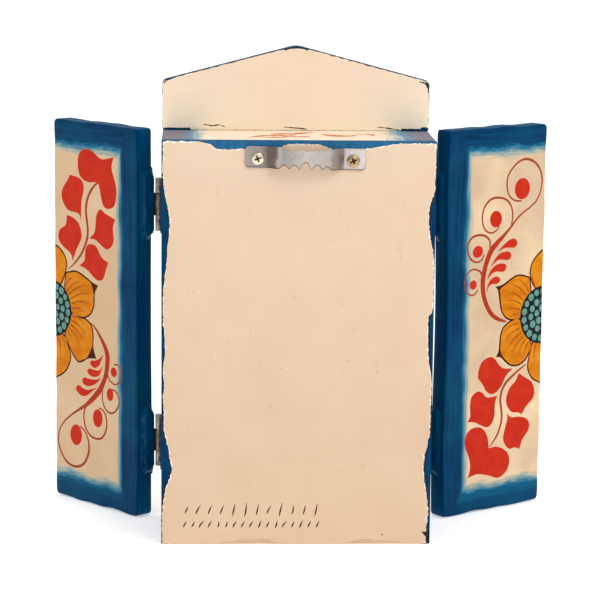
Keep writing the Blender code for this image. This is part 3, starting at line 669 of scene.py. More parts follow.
leftDoor = {
    "joint": "door_left_hinge", "node": "door_left", "side": -1,
    "hingeEdge": ((186, 1.25, 45), (44, 1.15, 44)), "lump": 1.7,
    "stems": [
        [(44.5, 108.9, 0.9), (39.1, 110.6, 1.9), (33.6, 113.9, 2.4), (29.6, 119.2, 2.6),
         (26.9, 125.5, 2.8), (26, 131.9, 3), (26.5, 137.4, 3), (28.2, 143.7, 3), (31.4, 150.3, 3.2),
         (35.5, 154.3, 2.9), (40.9, 158.4, 2), (46.3, 163, 1.3), (50.9, 167.4, 1.1),
         (55.5, 170.6, 1), (60.9, 173.4, 0.9), (65.5, 176.7, 0.9), (68.6, 181.9, 0.9),
         (69.7, 188.3, 1), (68.1, 194.1, 1.1), (64.5, 198.3, 1.2), (60, 200.6, 1.3),
         (55.4, 201.1, 1.2), (50.5, 199.5, 1), (45.9, 195.8, 1), (43.3, 191.9, 1),
         (42.7, 186.9, 1), (44.2, 181.9, 0.9), (47.3, 178.9, 0.9), (51.2, 177.6, 0.9),
         (54.2, 177.6, 0.8)],
        [(46.8, 164.2, 0.9), (47.6, 169.2, 1), (46.3, 175, 1), (42.2, 179.1, 1.1),
         (36.4, 180.6, 1.2), (30.9, 180, 1.2), (26.5, 176.5, 1.1), (24.6, 171.5, 1),
         (25.1, 166.5, 1), (27.4, 162.6, 0.9), (31.4, 160.9, 0.9), (35.4, 162, 0.8),
         (37.6, 164.4, 0.6)],
        [(30.9, 152.4, 1), (30.5, 156.5, 1.1), (27.3, 159.4, 1.2), (22.3, 160.4, 1.2),
         (17.4, 159.4, 1.2), (14.3, 156, 1.1), (14.3, 151.5, 1), (16.6, 147.2, 1),
         (20.9, 145.1, 1), (24.8, 146.2, 0.9), (26.4, 149.2, 0.7)],
        [(25.6, 136.6, 1.2), (23.3, 139.9, 1), (18.2, 141.2, 0.9), (14, 139, 0.8),
         (12.6, 134.6, 0.8), (13, 130.2, 0.8), (16, 127.1, 0.9), (19.5, 126.7, 0.9),
         (22.5, 129.2, 0.8)],
        [(60.5, 82.2, 0.6), (56, 79.9, 1.1), (51.8, 77.6, 1.3), (45.5, 73.2, 1.5),
         (42.3, 68.6, 1.4), (41.4, 63.2, 1.4), (42.5, 57, 1.4), (42.6, 51.4, 1.3), (40.5, 45, 1.2),
         (37.3, 40.5, 1), (33.8, 37.2, 0.6)],
    ],
    "dots": [(54.5, 184.4, 5.9, 6.1, 0.0), (34.9, 168.5, 4.5, 4.8, 0.3), (21.7, 151, 3.9, 3.4, 0.2),
             (18.8, 132.4, 2.7, 2.7, 0.0)],
    "commas": [
        [(51.6, 153.9, 0.8), (50.9, 153.8, 3.4), (49.3, 153.7, 5.2), (47, 153.7, 5),
         (44.6, 153.3, 3.8), (42.2, 152.6, 2.4), (40, 151.6, 1.4), (37.3, 149.9, 0.4)],
        [(47.2, 146.8, 0.8), (46.5, 146.8, 3.2), (44.8, 146.8, 4.9), (42, 147, 4.6),
         (39, 146.9, 3.7), (36.6, 145.9, 2.4), (34.6, 144.4, 1.4), (32, 142, 0.4)],
        [(43.6, 140.9, 0.8), (42.9, 140.8, 3.2), (41, 140.3, 4.9), (38.4, 140.5, 4.6),
         (35.6, 140.2, 3.7), (33, 139, 2.6), (31, 137, 1.5), (29.6, 134.6, 0.4)],
        [(39.2, 133.7, 0.6), (38.5, 133.6, 2.6), (36.8, 133.5, 4.2), (34.6, 133.4, 4),
         (32.4, 132.8, 2.8), (30.7, 131.3, 1.5), (29.7, 129.4, 0.9), (28.9, 127, 0.4)],
    ],
    "leaves": [
        [(32.3, 89.6), (36.4, 88.2), (40.5, 83.6), (44.5, 81.5), (50.6, 81.1, 1), (45.5, 77.3),
         (42.7, 72.7), (38.6, 68.8), (34.5, 67.8), (30.5, 70), (27.3, 74.5), (23.7, 78.4, 1),
         (24.4, 83.2), (26.8, 87.5)],
        [(24.1, 70.6), (27.7, 69.3), (30.5, 66.6), (34.1, 66.2), (39.2, 66.5, 1), (37.3, 62.3),
         (37.1, 55), (35, 50.5), (31.4, 48.9), (26.4, 50.9), (21.8, 53), (16.4, 53.8, 1),
         (18.6, 56.8), (18.3, 62.7), (19.5, 68.2)],
        [(55.3, 77.7, 1), (60.5, 74.5), (65.5, 71.4), (67.8, 65.9), (66.8, 61.6), (61.8, 57.5),
         (58.2, 53, 1), (55.5, 54.5), (50, 55.7), (46.5, 60), (46, 64.5), (48.6, 70), (52.7, 73.2)],
        [(46.9, 55.2, 1), (50, 52.5), (56.4, 52), (61.8, 50.3), (64.5, 46.8), (63.6, 42.7),
         (59.5, 38.2), (57.3, 32.8, 1), (53.6, 34.1), (49.1, 34), (45.5, 37.3), (44.3, 41.4),
         (45.9, 47.7), (47.1, 51.8)],
        [(14.9, 42.3), (15.9, 46.4), (19.1, 49.2), (24.1, 49.9), (28.6, 48.2), (31.8, 44.1),
         (32.9, 39.8), (33.4, 36.4, 1), (39.1, 36.6), (44.5, 34.5), (48.2, 31.4), (49.6, 26.8),
         (48.2, 22.2), (44.5, 19), (40, 18.1), (34.5, 20), (28.2, 21.8), (23.6, 22.3),
         (17.6, 21, 1), (19.2, 25.5), (19, 30.5), (17.3, 35), (15.6, 38.6)],
    ],
    "flower": {
        "centre": (72.0, 110.2), "disc": 16.8, "line": 0.95, "dot": 1.95,
        "rings": ((13.7, 18, 8), (8.4, 11, 20), (3.9, 5, 20)),
        "petals": [
            {"outline": [(78, 150), (72.4, 148.9), (67.3, 145.7), (63.6, 141.9), (62.1, 138.3),
                         (61.9, 134.6), (62.7, 131.3), (65.5, 126.5), (74, 118), (84, 130)],
             "veins": ((110, 17, 28), (121, 17, 25))},
            {"outline": [(62.7, 131.3), (59.1, 134.1), (53.6, 135.3), (49.1, 134.4), (43.6, 131.7),
                         (40, 130.3), (35.4, 129.8, 1), (37.3, 128.1), (38.2, 124.9), (39.1, 120.1),
                         (40.3, 115.5), (42.6, 112),
                         (45.3, 110), (49.1, 108.9), (55, 109), (63, 117)],
             "veins": ((126, 18, 29), (136, 18, 31), (146, 18, 32), (155, 18, 31), (165, 18, 28),
                       (174, 18, 25))},
            {"outline": [(55, 109.9), (49.1, 109.6), (45.3, 108.1), (41.8, 105.5), (40, 101.4),
                         (39.5, 96.8), (39.1, 92.3), (37.1, 89.1, 1), (40.9, 88.4), (44.5, 85.3),
                         (48.2, 82.8), (52.7, 81.9), (56.4, 82.5), (60.5, 84.8), (62.9, 88.2),
                         (64.8, 94)],
             "veins": ((190, 18, 30), (200, 18, 31), (210, 18, 32), (219, 18, 31), (228, 18, 29),
                       (237, 18, 26))},
            {"outline": [(64.8, 94), (62.4, 85.9), (61.6, 81.4), (62.5, 77.5), (65.7, 73),
                         (70.9, 70.3), (76, 69), (84, 90), (74, 100)],
             "veins": ((247, 17, 27), (257, 17, 29))},
        ],
    },
}


def doorPainting(door):
    # The brush was fuller, so redder, where a stem is broad
    broad, full = 1.55, 1.12
    shapes = [(strokeBand([(x, z, wide * full) for x, z, wide in stem]), "fineRed")
              for stem in door["stems"]]
    bodies = [[point for point in stem if point[2] > broad] for stem in door["stems"]]
    shapes += [(strokeBand(body), "stemRed") for body in bodies if len(body) > 2]
    shapes += [(dotShape(*dot), "leafRed") for dot in door["dots"]]
    shapes += [(strokeBand(comma, 0.6), "leafRed") for comma in door["commas"]]
    shapes += [(smoothLoop(leaf), "leafRed") for leaf in door["leaves"]]
    return shapes + flowerShapes(door["flower"])


# The inner faces carry one small flower, plainer than the outside
innerFlower = {
    "centre": (36.0, 110.0), "disc": 6.5, "line": 0.8, "dot": 1.1,
    "rings": ((4.3, 9, 0), (0.0, 1, 0)), "petals": [],
    # How far out and how far aside each point of a petal is
    "petal": ((4, -5), (11, -6.5), (17, -5.5), (21.5, 0), (17, 5.5), (11, 6.5), (4, 5)),
}
for turn in range(30, 390, 60):
    x, y = innerFlower["centre"]
    cos, sin = math.cos(math.radians(turn)), math.sin(math.radians(turn))
    outline = [(x + out * cos - aside * sin, y + out * sin + aside * cos)
               for out, aside in innerFlower["petal"]]
    innerFlower["petals"].append({"outline": outline, "veins": ((turn, 7, 14),)})

doorEdge = {"rounding": 0.9, "corner": 2.6, "grain": 15.0, "upright": 0.7, "level": 1.0}
# The door's border fades: each edge's axis, start, end and raggedness
finishes["rightDoorField"] = makeFade(
    "right door fade", ((0, 18.2, 10.8, 0.22), (1, 201.5, 211.0, 0.25), (1, 19.5, 9.0, 0.22)),
    foot=0.35)
# The left door's cream is paler than the right door's: painted light, as more light falls on the
# left door
finishes["leftDoorField"] = makeFade(
    "left door fade", ((0, 17.8, 10.2, 0.22), (1, 202.5, 212.0, 0.25), (1, 19.0, 9.5, 0.22)),
    ("d3b595", "f2d4ad"), shade=0.2, foot=0.85)
finishes["innerDoorField"] = makeFade(
    "inner door fade", ((0, 14.0, 8.0, 0.22), (0, 59.0, 65.0, 0.22), (1, 205.0, 213.0, 0.25),
                        (1, 16.0, 8.0, 0.25)))
# Paint clotted over a door's hinge leaves: its middle in from the edge, half its width and
# height, and over what length it runs out
lumpSpec = {
    "sunk": 0.5, "across": 4.4, "wide": 6.2, "tall": 21.0, "taper": 5.5, "parts": 20,
    "inEdge": -0.7, "outEdge": 9.9,
}


def hingeSwell(door, height):
    return sum(size * math.exp(-((height - z) / spread) ** 2)
               for z, size, spread in door["hingeEdge"])


def buildDoor(door):
    joint = next(j for j in frame["joints"] if j["name"] == door["joint"])
    pivot = Vector(joint["pos_m"])
    shut = Matrix.Rotation(math.radians(joint["range_deg"][0]), 4, Vector(joint["axis"]))
    toShut = Matrix.Translation(pivot) @ shut @ Matrix.Translation(-pivot)
    places = np.array([toShut @ v.co for v in frame["nodes"][door["node"]].data.vertices])
    low, high = places.min(0), places.max(0)
    wide, thick = (high[0] - low[0]) / mm, (high[1] - low[1]) / mm
    foot, top = low[2] / mm, high[2] / mm
    side = door["side"]
    hingeEdge = high[0] if side > 0 else low[0]
    fromSheet = Matrix(((-side, 0, 0, hingeEdge), (0, 0, -1, high[1]), (0, 1, 0, 0), (0, 0, 0, 1)))

    def swell(point):
        if point[0] < 1.0:
            return hingeSwell(door, point[1])
        wave = noise.noise(Vector((point[0], point[1], side * 3.0)) / doorEdge["grain"])
        isLevel = point[1] < 4 or point[1] > 216
        return min(doorEdge["level" if isLevel else "upright"] * (wave - 0.35), 0.0)

    outline = boardOutline((0.0, foot), (wide, top), doorEdge["corner"], swell)
    field = "rightDoorField" if side > 0 else "leftDoorField"
    board = paintedBoard(
        door["node"] + "_painted", outline, thick, doorEdge["rounding"],
        toShut.inverted() @ fromSheet, doorPainting(door), flowerShapes(innerFlower),
        # The edges take the lighter blue that paints the light falling on them
        (field, "litEdgeBlue", "innerDoorField"),
    )
    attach(board, door["node"])
    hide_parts(door["node"])
    wallFrame = Matrix(((0, 0, side, hingeEdge - side * lumpSpec["sunk"] * mm),
                        (-1, 0, 0, high[1]), (0, 1, 0, 0), (0, 0, 0, 1)))
    for level in ("lower", "upper"):
        clotHinge(door, level, toShut.inverted() @ wallFrame)


def clotHinge(door, level, fromWall):
    spec = lumpSpec
    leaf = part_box("_".join(("hinge", door["node"][5:], level, "door_leaf")))
    middle = (leaf[0].z + leaf[1].z) / 2 / mm
    peak = spec["sunk"] + door["lump"] + 2.0
    blob = []
    for part in range(spec["parts"]):
        turn = 2 * math.pi * part / spec["parts"]
        reach = 1 + 0.2 * noise.noise(Vector((2 * math.cos(turn), 2 * math.sin(turn), middle)))
        across, up = (math.copysign(abs(c) ** 0.6, c) for c in (math.cos(turn), math.sin(turn)))
        x = spec["across"] + spec["wide"] * across * reach
        blob.append((min(max(x, spec["inEdge"]), spec["outEdge"]),
                     middle + spec["tall"] * up * reach))

    def lumpDrop(place, distance):
        x, z = place
        swell = noise.noise(Vector((x, z, door["side"] * 5.0)) / 3.6)
        fine = noise.noise(Vector((x, z, door["side"] * 7.0)) / 1.1)
        # The clot ends steeply at the barrel and runs out gently away from it
        rise = door["lump"] * (0.9 + 0.25 * swell + 0.08 * fine)
        toEnd = spec["tall"] - abs(z - middle)
        for share in (distance / (0.8 + 0.55 * max(x, 0.0)), toEnd / spec["taper"]):
            share = min(max(share, 0.0), 1.0)
            rise *= share * share * (3 - 2 * share)
        return peak - (spec["sunk"] + hingeSwell(door, z) - 0.12 + rise)

    lump = paintedBoard(
        "_".join((door["node"], level, "clotted_paint")), evenLoop(smoothLoop(blob), 1.0), peak,
        0.3, fromWall, [], [], ("clot",) * 3, 0.9, lumpDrop, 0.0,
    )
    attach(lump, door["node"])


for door in (rightDoor, leftDoor):
    buildDoor(door)
print("doors painted")

# Back board with its whittled, chipped rim
panelSpec = {
    "drop": 1.2, "rag": 0.42, "ragGrain": 1.6, "fineRag": 0.3, "fineGrain": 0.7, "step": 0.5,
    "darkLine": (0.05, 1.0), "fringe": (-0.35, 0.7), "footHeight": 5.2, "brightRim": 205.0,
    # The dark chips at the lower corner, and a speck above the foot
    "chips": (((-68.2, 7.3), (-70.5, 6.9), (-73.2, 7.6), (-73.2, 2.6), (-71.4, 3.4)),
              ((-70.8, 2.7), (-73.2, 3.0), (-73.2, 0), (-71.2, 0))),
    "speck": (-47.0, 5.4, 0.45, 0.35),
    # Each field of pimples is how many, its low and high corners and its seed
    "pimples": ((60, (-62, 95), (60, 195), 3), (28, (-62, 30), (60, 92), 5)),
}


def rectangle(left, low, right, high):
    return [(left, low), (right, low), (right, high), (left, high)]


def creamOutline():
    # The outline of the board's flat face, read from its solid
    mesh = frame["nodes"]["back_panel"].data
    top = max(v.co.y for v in mesh.vertices)
    flat = []
    for polygon in mesh.polygons:
        corners = [mesh.vertices[i].co for i in polygon.vertices]
        if all(top - c.y < 1e-5 for c in corners):
            flat.append([(round(c.x / mm, 2), round(c.z / mm, 2)) for c in corners])
    return turnedLeft(outerRing(flat, lambda ring: max(ring, key=lambda p: abs(p[0]) + abs(p[1]))))


def scatterPimples(count, low, high, seed):
    # Small bubbles and grit caught in the plaster
    draw = random.Random(seed)
    found = []
    while len(found) < count:
        spot = (draw.uniform(low[0], high[0]), draw.uniform(low[1], high[1]))
        radius = 0.35 + 0.55 * draw.random() ** 2
        if all(math.dist(spot, other[:2]) > 2.5 for other in found):
            found.append((*spot, radius, radius * draw.uniform(0.55, 0.9)))
    return found


def raggedWidth(low, high, seed, grain, right=1.0, top=1.0):
    # right and top make the line that much wider along those edges
    def widthAt(index, point):
        if point[1] < panelSpec["footHeight"] and abs(point[0]) < 69:
            return 0.0  # along the foot the plaster runs over the whittled edge
        wave = 1.3 * noise.noise(Vector((point[0], point[1], seed)) / grain) + 0.5
        width = low + (high - low) * min(max(wave, 0.0), 1.0)
        share = top if point[1] > panelSpec["brightRim"] else right if point[0] < -60 else 1.0
        return max(width, 0.03) * share
    return widthAt


# Two rows of short pen strokes: height, size and number
inkRows = {"left": 62.5, "right": -14.0, "rows": ((19.3, 7.0, 12), (11.2, 5.0, 17)), "width": 0.85}


def inkStrokes():
    strokes = []
    for height, tall, count in inkRows["rows"]:
        for index in range(count):
            x = inkRows["left"] + (inkRows["right"] - inkRows["left"]) * (index + 0.5) / count
            sway = noise.noise(Vector((index * 1.7, height, 0)))
            lean = 1.6 + sway * 2.0
            rise = tall * (0.75 + 0.5 * noise.noise(Vector((index * 2.3, height, 5))))
            strokes.append(strokeBand((
                (x + lean / 2, height - rise / 2, 0.2),
                (x + lean * 0.1 + sway, height - rise * 0.1, inkRows["width"]),
                (x - lean / 2, height + rise / 2, 0.25),
            ), 0.6))
    return strokes


def withinBox(low, high):
    # The part of a board that closes the box, clear of its edges
    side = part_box("side_right")[0].x / mm + 3.0
    edge = 4.0
    return rectangle(-side, low / mm + edge, side, high / mm - edge)


def upright(depth):
    # A sheet that stands across the box: its height goes up, its front faces back
    return Matrix(((1, 0, 0, 0), (0, 0, 1, depth), (0, 1, 0, 0), (0, 0, 0, 1)))


def isInside(place, loop):
    # Odd number of crossings to the right of the point
    x, y = place[0], place[1]
    crossings = [a[0] + (b[0] - a[0]) * (y - a[1]) / (b[1] - a[1])
                 for a, b in zip(loop, loop[1:] + loop[:1]) if (a[1] > y) != (b[1] > y)]
    return sum(x < crossing for crossing in crossings) % 2 == 1


def buildBackBoard():
    spec = panelSpec
    low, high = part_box("back_panel")
    foot, top = low.z / mm, high.z / mm
    outer = turnedLeft(boardOutline((low.x / mm, foot), (high.x / mm, top), 0.5))

    def ragAt(index, point):
        rag, fine = (noise.noise(Vector((*point, seed)) / grain) for seed, grain in (
            (1.0, spec["ragGrain"]), (8.0, spec["fineGrain"])))
        return spec["rag"] * rag + spec["fineRag"] * fine - 0.05

    ragged = pushedOut(evenLoop(creamOutline(), spec["step"]), ragAt)
    # A ragged dark line just outside the cream: partly the dark undercoat where the plaster is worn
    # away, partly a painted shadow of the plaster's raised edge
    darkLine = pushedOut(ragged, raggedWidth(*spec["darkLine"], 4.0, 1.1, 1.6, 0.3))
    fringeAt = raggedWidth(*spec["fringe"], 12.0, 2.4, 1.0, 1.4)
    inside = pushedOut(ragged, lambda i, p: -fringeAt(i, p))
    shapes = [
        # Above the bright rim height the rim takes a lighter blue: painted light falling on the top
        (rectangle(-80.0, spec["brightRim"], 80.0, top + 1), "litRimBlue"),
        # Along the foot the plaster turning under the whittled edge is painted darker: painted
        # shade where it faces down
        (rectangle(-70.0, foot - 1, 72.0, spec["footHeight"]), "shadedPlasterFoot"),
        (darkLine, "wornEdgeAndShade"), (ragged, "palePlaster"), (inside, "creamPlaster"),
    ]
    shapes += [(list(chip), "wornEdgeAndShade") for chip in spec["chips"]]
    shapes.append((dotShape(*spec["speck"]), "wornEdgeAndShade"))
    shapes += [(stroke, "ink") for stroke in inkStrokes()]

    def dropAt(place, fromOutline):
        fromCream = float(outlineDistance([place], ragged)[0])
        if isInside(place, ragged):
            return 0.12 * max(0.0, 1 - fromCream / 0.8)
        share = fromCream / max(fromCream + fromOutline, 0.01)
        return 0.25 + (spec["drop"] - 0.25) * share ** 0.8

    board = paintedBoard(
        "back_panel_plastered", outer, (high.y - low.y) / mm, 0.5, upright(low.y), shapes,
        [(withinBox(low.z, high.z), "insidePlaster")], ("blue", "blue", "blue"), 5.0, dropAt, 0.07,
        [pimple for field in spec["pimples"] for pimple in scatterPimples(*field)],
    )
    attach(board, "box")
    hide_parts("back_panel")


buildBackBoard()
print("back board plastered")

# Gable. Heights are from its foot, in mm.
gableSpec = {
    "rounding": 0.6, "inset": (0.02, 0.3), "footLift": 1.3, "border": 5.0, "eave": 22.5,
    # The back: dark cracks along the foot, the blue of the corners and of the ends of the foot
    "cracks": (((50.5, 2.9, 0.5), (46, 2.2, 0.6), (42, 2.6, 0.7), (39, 1.6, 0.3)),
               ((6.5, 1.7, 0.3), (1.5, 1.2, 0.7), (-3, 0.9, 0.6), (-6.5, 0.3, 0.3)),
               ((-44.5, 1.9, 0.3), (-49, 1.5, 0.6), (-53, 0.9, 0.6), (-57, 0.2, 0.4))),
    "corners": (((-67.5, 26.9, 0.3), (-70.6, 26.2, 1.2), (-71.9, 25.4, 1.5), (-72.6, 23.2, 1.3),
                 (-72.5, 20.8, 0.3)),
                ((66.3, 28.3, 0.3), (68.6, 27.9, 0.8), (71.2, 26.9, 0.9), (72.4, 25.2, 0.3))),
    "ends": (((64.5, -1), (75, -1), (75, 1.3), (59.5, 1.2)),
             ((-63, -1), (-75, -1), (-75, 1.2), (-67, 0.9))),
    "daub": (-70.8, 0.9, 2.3, 1.1),
    # The front: a scroll to each side of a small flower, and its two leaves
    "scroll": ((6, 20, 0.6), (18, 13, 1.6), (32, 12, 1.8), (44, 17, 1.2), (46, 23, 1),
               (40, 25, 0.9), (37, 21, 0.6)),
    "leaves": (((24, 21), (20, 14)), ((32, 7), (25, 11))), "flowerHeight": 22,
}


def buildGable():
    spec = gableSpec
    low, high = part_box("gable_board")
    foot, peak = low.z / mm, high.z / mm
    flat = sorted({(round(v.co.x / mm, 2), round(v.co.z / mm, 2))
                   for v in frame["nodes"]["gable_board"].data.vertices})
    hull = [flat[i] for i in convex_hull_2d([Vector(p) for p in flat])]
    # Paint fills the hairline gap at the gable's foot
    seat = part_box("top_board")[1].z / mm
    hull = [(x, seat if z < seat + 1.0 else z) for x, z in hull]
    outline = evenLoop(turnedLeft(hull), 2.5)

    def creamInset(index, point):
        # The blue shows most at the apex and the right-hand eave
        x, z = point
        wave = noise.noise(Vector((x, z, 3.0)) / 3.0) + 0.5
        inset = spec["inset"][0] + (spec["inset"][1] - spec["inset"][0]) * wave
        if x < -8:
            inset *= 1.5
        if z > peak - 1.3:
            inset += 0.8
        if z < foot + 0.5:
            inset = spec["footLift"] if abs(x) > 58 else 0.15
            inset += 0.25 * noise.noise(Vector((x, 0, 9.0)) / 1.1)
        return -inset

    def raised(points):
        return [(x, foot + z, *width) for x, z, *width in points]

    shapes = [(raised(end), "blue") for end in spec["ends"]]
    shapes.append((pushedOut(evenLoop(outline, 0.8), creamInset), "gablePlaster"))
    shapes += [(strokeBand(raised(crack), 0.7, 0.8), "wornEdgeAndShade") for crack in spec["cracks"]]
    shapes += [(strokeBand(raised(corner), 0.7, 0.9), "roofLine") for corner in spec["corners"]]
    x, z, *size = spec["daub"]
    shapes.append((dotShape(x, foot + z, *size), "blue"))
    border = spec["border"]
    half, eave = high.x / mm - border, foot + spec["eave"]
    scrolls = [([(-half, foot + border), (half, foot + border), (half, eave), (0, peak - border),
                 (-half, eave)], "insidePlaster")]
    for side in (1, -1):
        stem = [(side * x, z, width) for x, z, width in raised(spec["scroll"])]
        scrolls.append((strokeBand(stem), "stemRed"))
        for leaf in spec["leaves"]:
            head, tail = ((side * x, z) for x, z in raised(leaf))
            scrolls.append((commaLeaf(head, tail, 2.0), "leafRed"))
    for radius, paint in ((5, "petal"), (2.2, "seedBlack")):
        scrolls.append((dotShape(0, foot + spec["flowerHeight"], radius, radius), paint))
    board = paintedBoard(
        "gable_painted", outline, (high.y - low.y) / mm, spec["rounding"], upright(low.y),
        shapes, scrolls, ("roofLine", "roofLine", "blue"), 5.0,
    )
    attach(board, "box")
    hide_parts("gable_board")


buildGable()
print("gable painted")

# Top board: cream with foreshortened strokes, blue at its ends and back edge, the blue greyed to
# violet by a painted reflection of the cream gable
topSpec = {
    "rounding": 0.8,
    "fade": ((0, 48.0, 64.0, 0.2), (0, -46.0, -68.0, 0.2), (1, 25.5, 31.5, 0.3)),
    "cream": ("fae4c8", "fff0da"),
    # The last tones are the blue with a painted reflection of the cream gable laid over it
    "tones": ((0.0, "fbe8d0"), (0.25, "ccccc6"), (0.5, "6698b2"), (0.72, "72829a"),
              (1.0, "7f7a88")),
    "strokes": (
        ((27, 15, 0.8), (19, 6, 5), (11, 3, 2)), ((15, 1, 1), (8, -5, 6), (2, -4, 2)),
        ((4, 1, 1), (-2, -8, 6), (-9, -12, 1.5)), ((22, 12, 1), (12, 14, 5), (4, 10, 1.5)),
        ((9, 7, 1), (0, 11, 5), (-7, 7, 1.5)), ((14, 8, 1), (8, 3, 5), (1, 4, 1)),
        ((-13, -3, 1), (-21, 5, 8), (-31, 5, 2.5)),
        ((-29, 4, 1.5), (-36, -5, 2), (-40, -2, 4), (-41, 3, 1.2)),
    ),
}
finishes["topField"] = makeFade("top board fade", topSpec["fade"], topSpec["cream"],
                                topSpec["tones"], coated=False)


def buildTopBoard():
    low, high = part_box("top_board")
    # Under the gable and round the front edge it is blue
    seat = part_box("gable_board")[1].y / mm - 0.4
    outline = boardOutline((low.x / mm, low.y / mm), (high.x / mm, high.y / mm), 0.6)
    board = paintedBoard(
        "top_board_painted", outline, (high.z - low.z) / mm, topSpec["rounding"],
        Matrix.Translation((0, 0, low.z)), [(rectangle(-80.0, -40.0, 80.0, seat), "blue")]
        + [(strokeBand(stroke), "orangeStroke") for stroke in topSpec["strokes"]],
        [(withinBox(low.y, high.y), "insidePlaster")], ("topField", "blue", "blue"), 6.0,
    )
    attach(board, "box")
    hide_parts("top_board")


buildTopBoard()
print("top board painted")


# The other boards keep their solids: blue outside, cream within
def makeBoardPaint():
    finish, tree, shader = newFinish(
        "box board paint", Roughness=blueSpec["roughness"], Specular_IOR_Level=blueSpec["sheen"])
    place = millimetres(tree, False)
    split = addNode(tree, "SeparateXYZ", {0: place}).outputs
    side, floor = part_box("side_left"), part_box("bottom_board")
    aside = addNode(tree, "Math", {0: split[0]}, operation="ABSOLUTE")
    within = addNode(tree, "Math", {0: aside, 1: -side[1].x / mm + 0.2}, operation="LESS_THAN")
    for value, limit in ((split[2], floor[1].z / mm - 0.2), (split[1], side[0].y / mm + 2.5)):
        test = addNode(tree, "Math", {0: value, 1: limit}, operation="GREATER_THAN")
        within = addNode(tree, "Math", {0: within, 1: test}, operation="MULTIPLY")
    blue, streak = blueCoat(tree, place, 2)
    cream = addNode(tree, "ValToRGB", {0: brushed(tree, place, plasterSpec["mottle"], 3.0)},
                    zip(noiseSpan, plasterSpec["inside"]))
    colour = addNode(tree, "Mix", {0: within, 6: blue, 7: cream}, data_type="RGBA").outputs[2]
    coatShader(tree, shader, colour, ((streak, 0.3, 0.12),))
    return finish


def makeHingeSteel(name, side, paintFrom, tones):
    # Pressed steel gone tan with age, and brushed over with the blue beyond the barrel
    finish, tree, shader = newFinish(name, Roughness=0.45, Specular_IOR_Level=0.3)
    place = millimetres(tree, False)
    pivot = next(j["pos_m"] for j in frame["joints"] if (j["pos_m"][0] > 0) == (side > 0))
    level = addNode(tree, "VectorMath", {0: place, 1: (1.0, 1.0, 0.0)}, operation="MULTIPLY")
    radius = addNode(tree, "VectorMath", {0: level, 1: (pivot[0] / mm, pivot[1] / mm, 0.0)},
                     operation="DISTANCE").outputs["Value"]
    wave = brushed(tree, place, 1.6, 3.0)
    reach = addNode(tree, "Math", {0: wave, 1: radius}, operation="ADD")
    painted = addNode(tree, "MapRange", {0: reach, 1: paintFrom + 0.4, 2: paintFrom + 0.7})
    bare = addNode(tree, "MapRange", {0: painted, 3: 0.5, 4: 0.0})
    steel = addNode(tree, "ValToRGB", {0: brushed(tree, place, (1.5, 1.5, 6.0), 6.0)},
                    zip(noiseSpan, tones))
    blue = blueCoat(tree, place, 2)[0]
    colour = addNode(tree, "Mix", {0: painted, 6: steel, 7: blue}, data_type="RGBA").outputs[2]
    tree.links.new(bare.outputs[0], shader.inputs["Metallic"])
    coatShader(tree, shader, colour, ((wave, 0.5, 0.3),))
    return finish


def makeZincSteel():
    # Zinc-plated strip steel: satin grey, with painted dark reflections at the two bends and
    # painted light making it paler towards one end, darker along its lower edge
    finish, tree, shader = newFinish("zinc plated strip", Metallic=1.0)
    place = addNode(tree, "Attribute", attribute_name="stripMm").outputs["Vector"]
    split = addNode(tree, "SeparateXYZ", {0: place}).outputs
    spangle = brushed(tree, place, 0.8, 2.0)
    slow = brushed(tree, place, 5.0, 8.0)
    wander = addNode(tree, "MapRange", {0: slow, 1: 0.3, 2: 0.7, 3: -1.0})
    along = addNode(tree, "Math", {0: split[0], 1: wander}, operation="ADD")
    share = addNode(tree, "MapRange", {0: along, 2: hangerSpec["long"]})
    # Painted light along the strip: dark painted reflections at the bends, a paler end where light
    # falls
    tone = addNode(tree, "ValToRGB", {0: share}, hangerSpec["greysAndPaintedLight"])
    grain = addNode(tree, "MapRange", {0: spangle, 1: 0.3, 2: 0.7, 3: 0.84, 4: 1.1})
    grey = addNode(tree, "VectorMath", {0: tone, 3: grain}, operation="SCALE")
    lowerEdgeDark = addNode(tree, "MapRange", {0: split[1], 1: 0.25, 2: 0.75, 3: 0.85, 4: 0.0})
    colour = addNode(tree, "Mix", {0: lowerEdgeDark, 6: grey, 7: hangerSpec["lowerEdgeDark"]}, data_type="RGBA")
    rough = addNode(tree, "MapRange", {0: spangle, 1: 0.3, 2: 0.7, 3: 0.3, 4: 0.38})
    tree.links.new(rough.outputs[0], shader.inputs["Roughness"])
    coatShader(tree, shader, colour.outputs[2],
               ((slow, 0.3, 0.5), (brushed(tree, place, 0.6, 6.0), 0.3, 0.03)))
    return finish


def makeYellowZinc(name, node, tones):
    # Yellow zinc plating on a screw: a pale brassy shine, its cross recess darkened with painted
    # shade
    finish, tree, shader = newFinish(name, Metallic=1.0, Roughness=0.3)
    place = millimetres(tree, False)
    low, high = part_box(node)
    top = high.y / mm
    depth = addNode(tree, "SeparateXYZ", {0: place}).outputs[1]
    sunk = addNode(tree, "MapRange", {0: depth, 1: top - 0.2, 2: top - 0.45})
    centre = ((low.x + high.x) / 2 / mm, top, (low.z + high.z) / 2 / mm)
    away = addNode(tree, "VectorMath", {0: place, 1: centre}, operation="DISTANCE")
    near = addNode(tree, "Math", {0: away.outputs["Value"], 1: 2.1}, operation="LESS_THAN")
    recess = addNode(tree, "Math", {0: sunk, 1: near}, operation="MULTIPLY")
    tone = brushed(tree, place, 1.2, 5.0)
    plated = addNode(tree, "ValToRGB", {0: tone}, zip(noiseSpan, tones))
    # Painted shade: the cross recess is coloured near black
    colour = addNode(tree, "Mix", {0: recess, 6: plated, 7: "2c2010"}, data_type="RGBA").outputs[2]
    coatShader(tree, shader, colour, ((tone, 0.3, 0.05),))
    return finish


def wear(node, finish):
    data = frame["nodes"][node].data
    data.materials.clear()
    data.materials.append(finish)


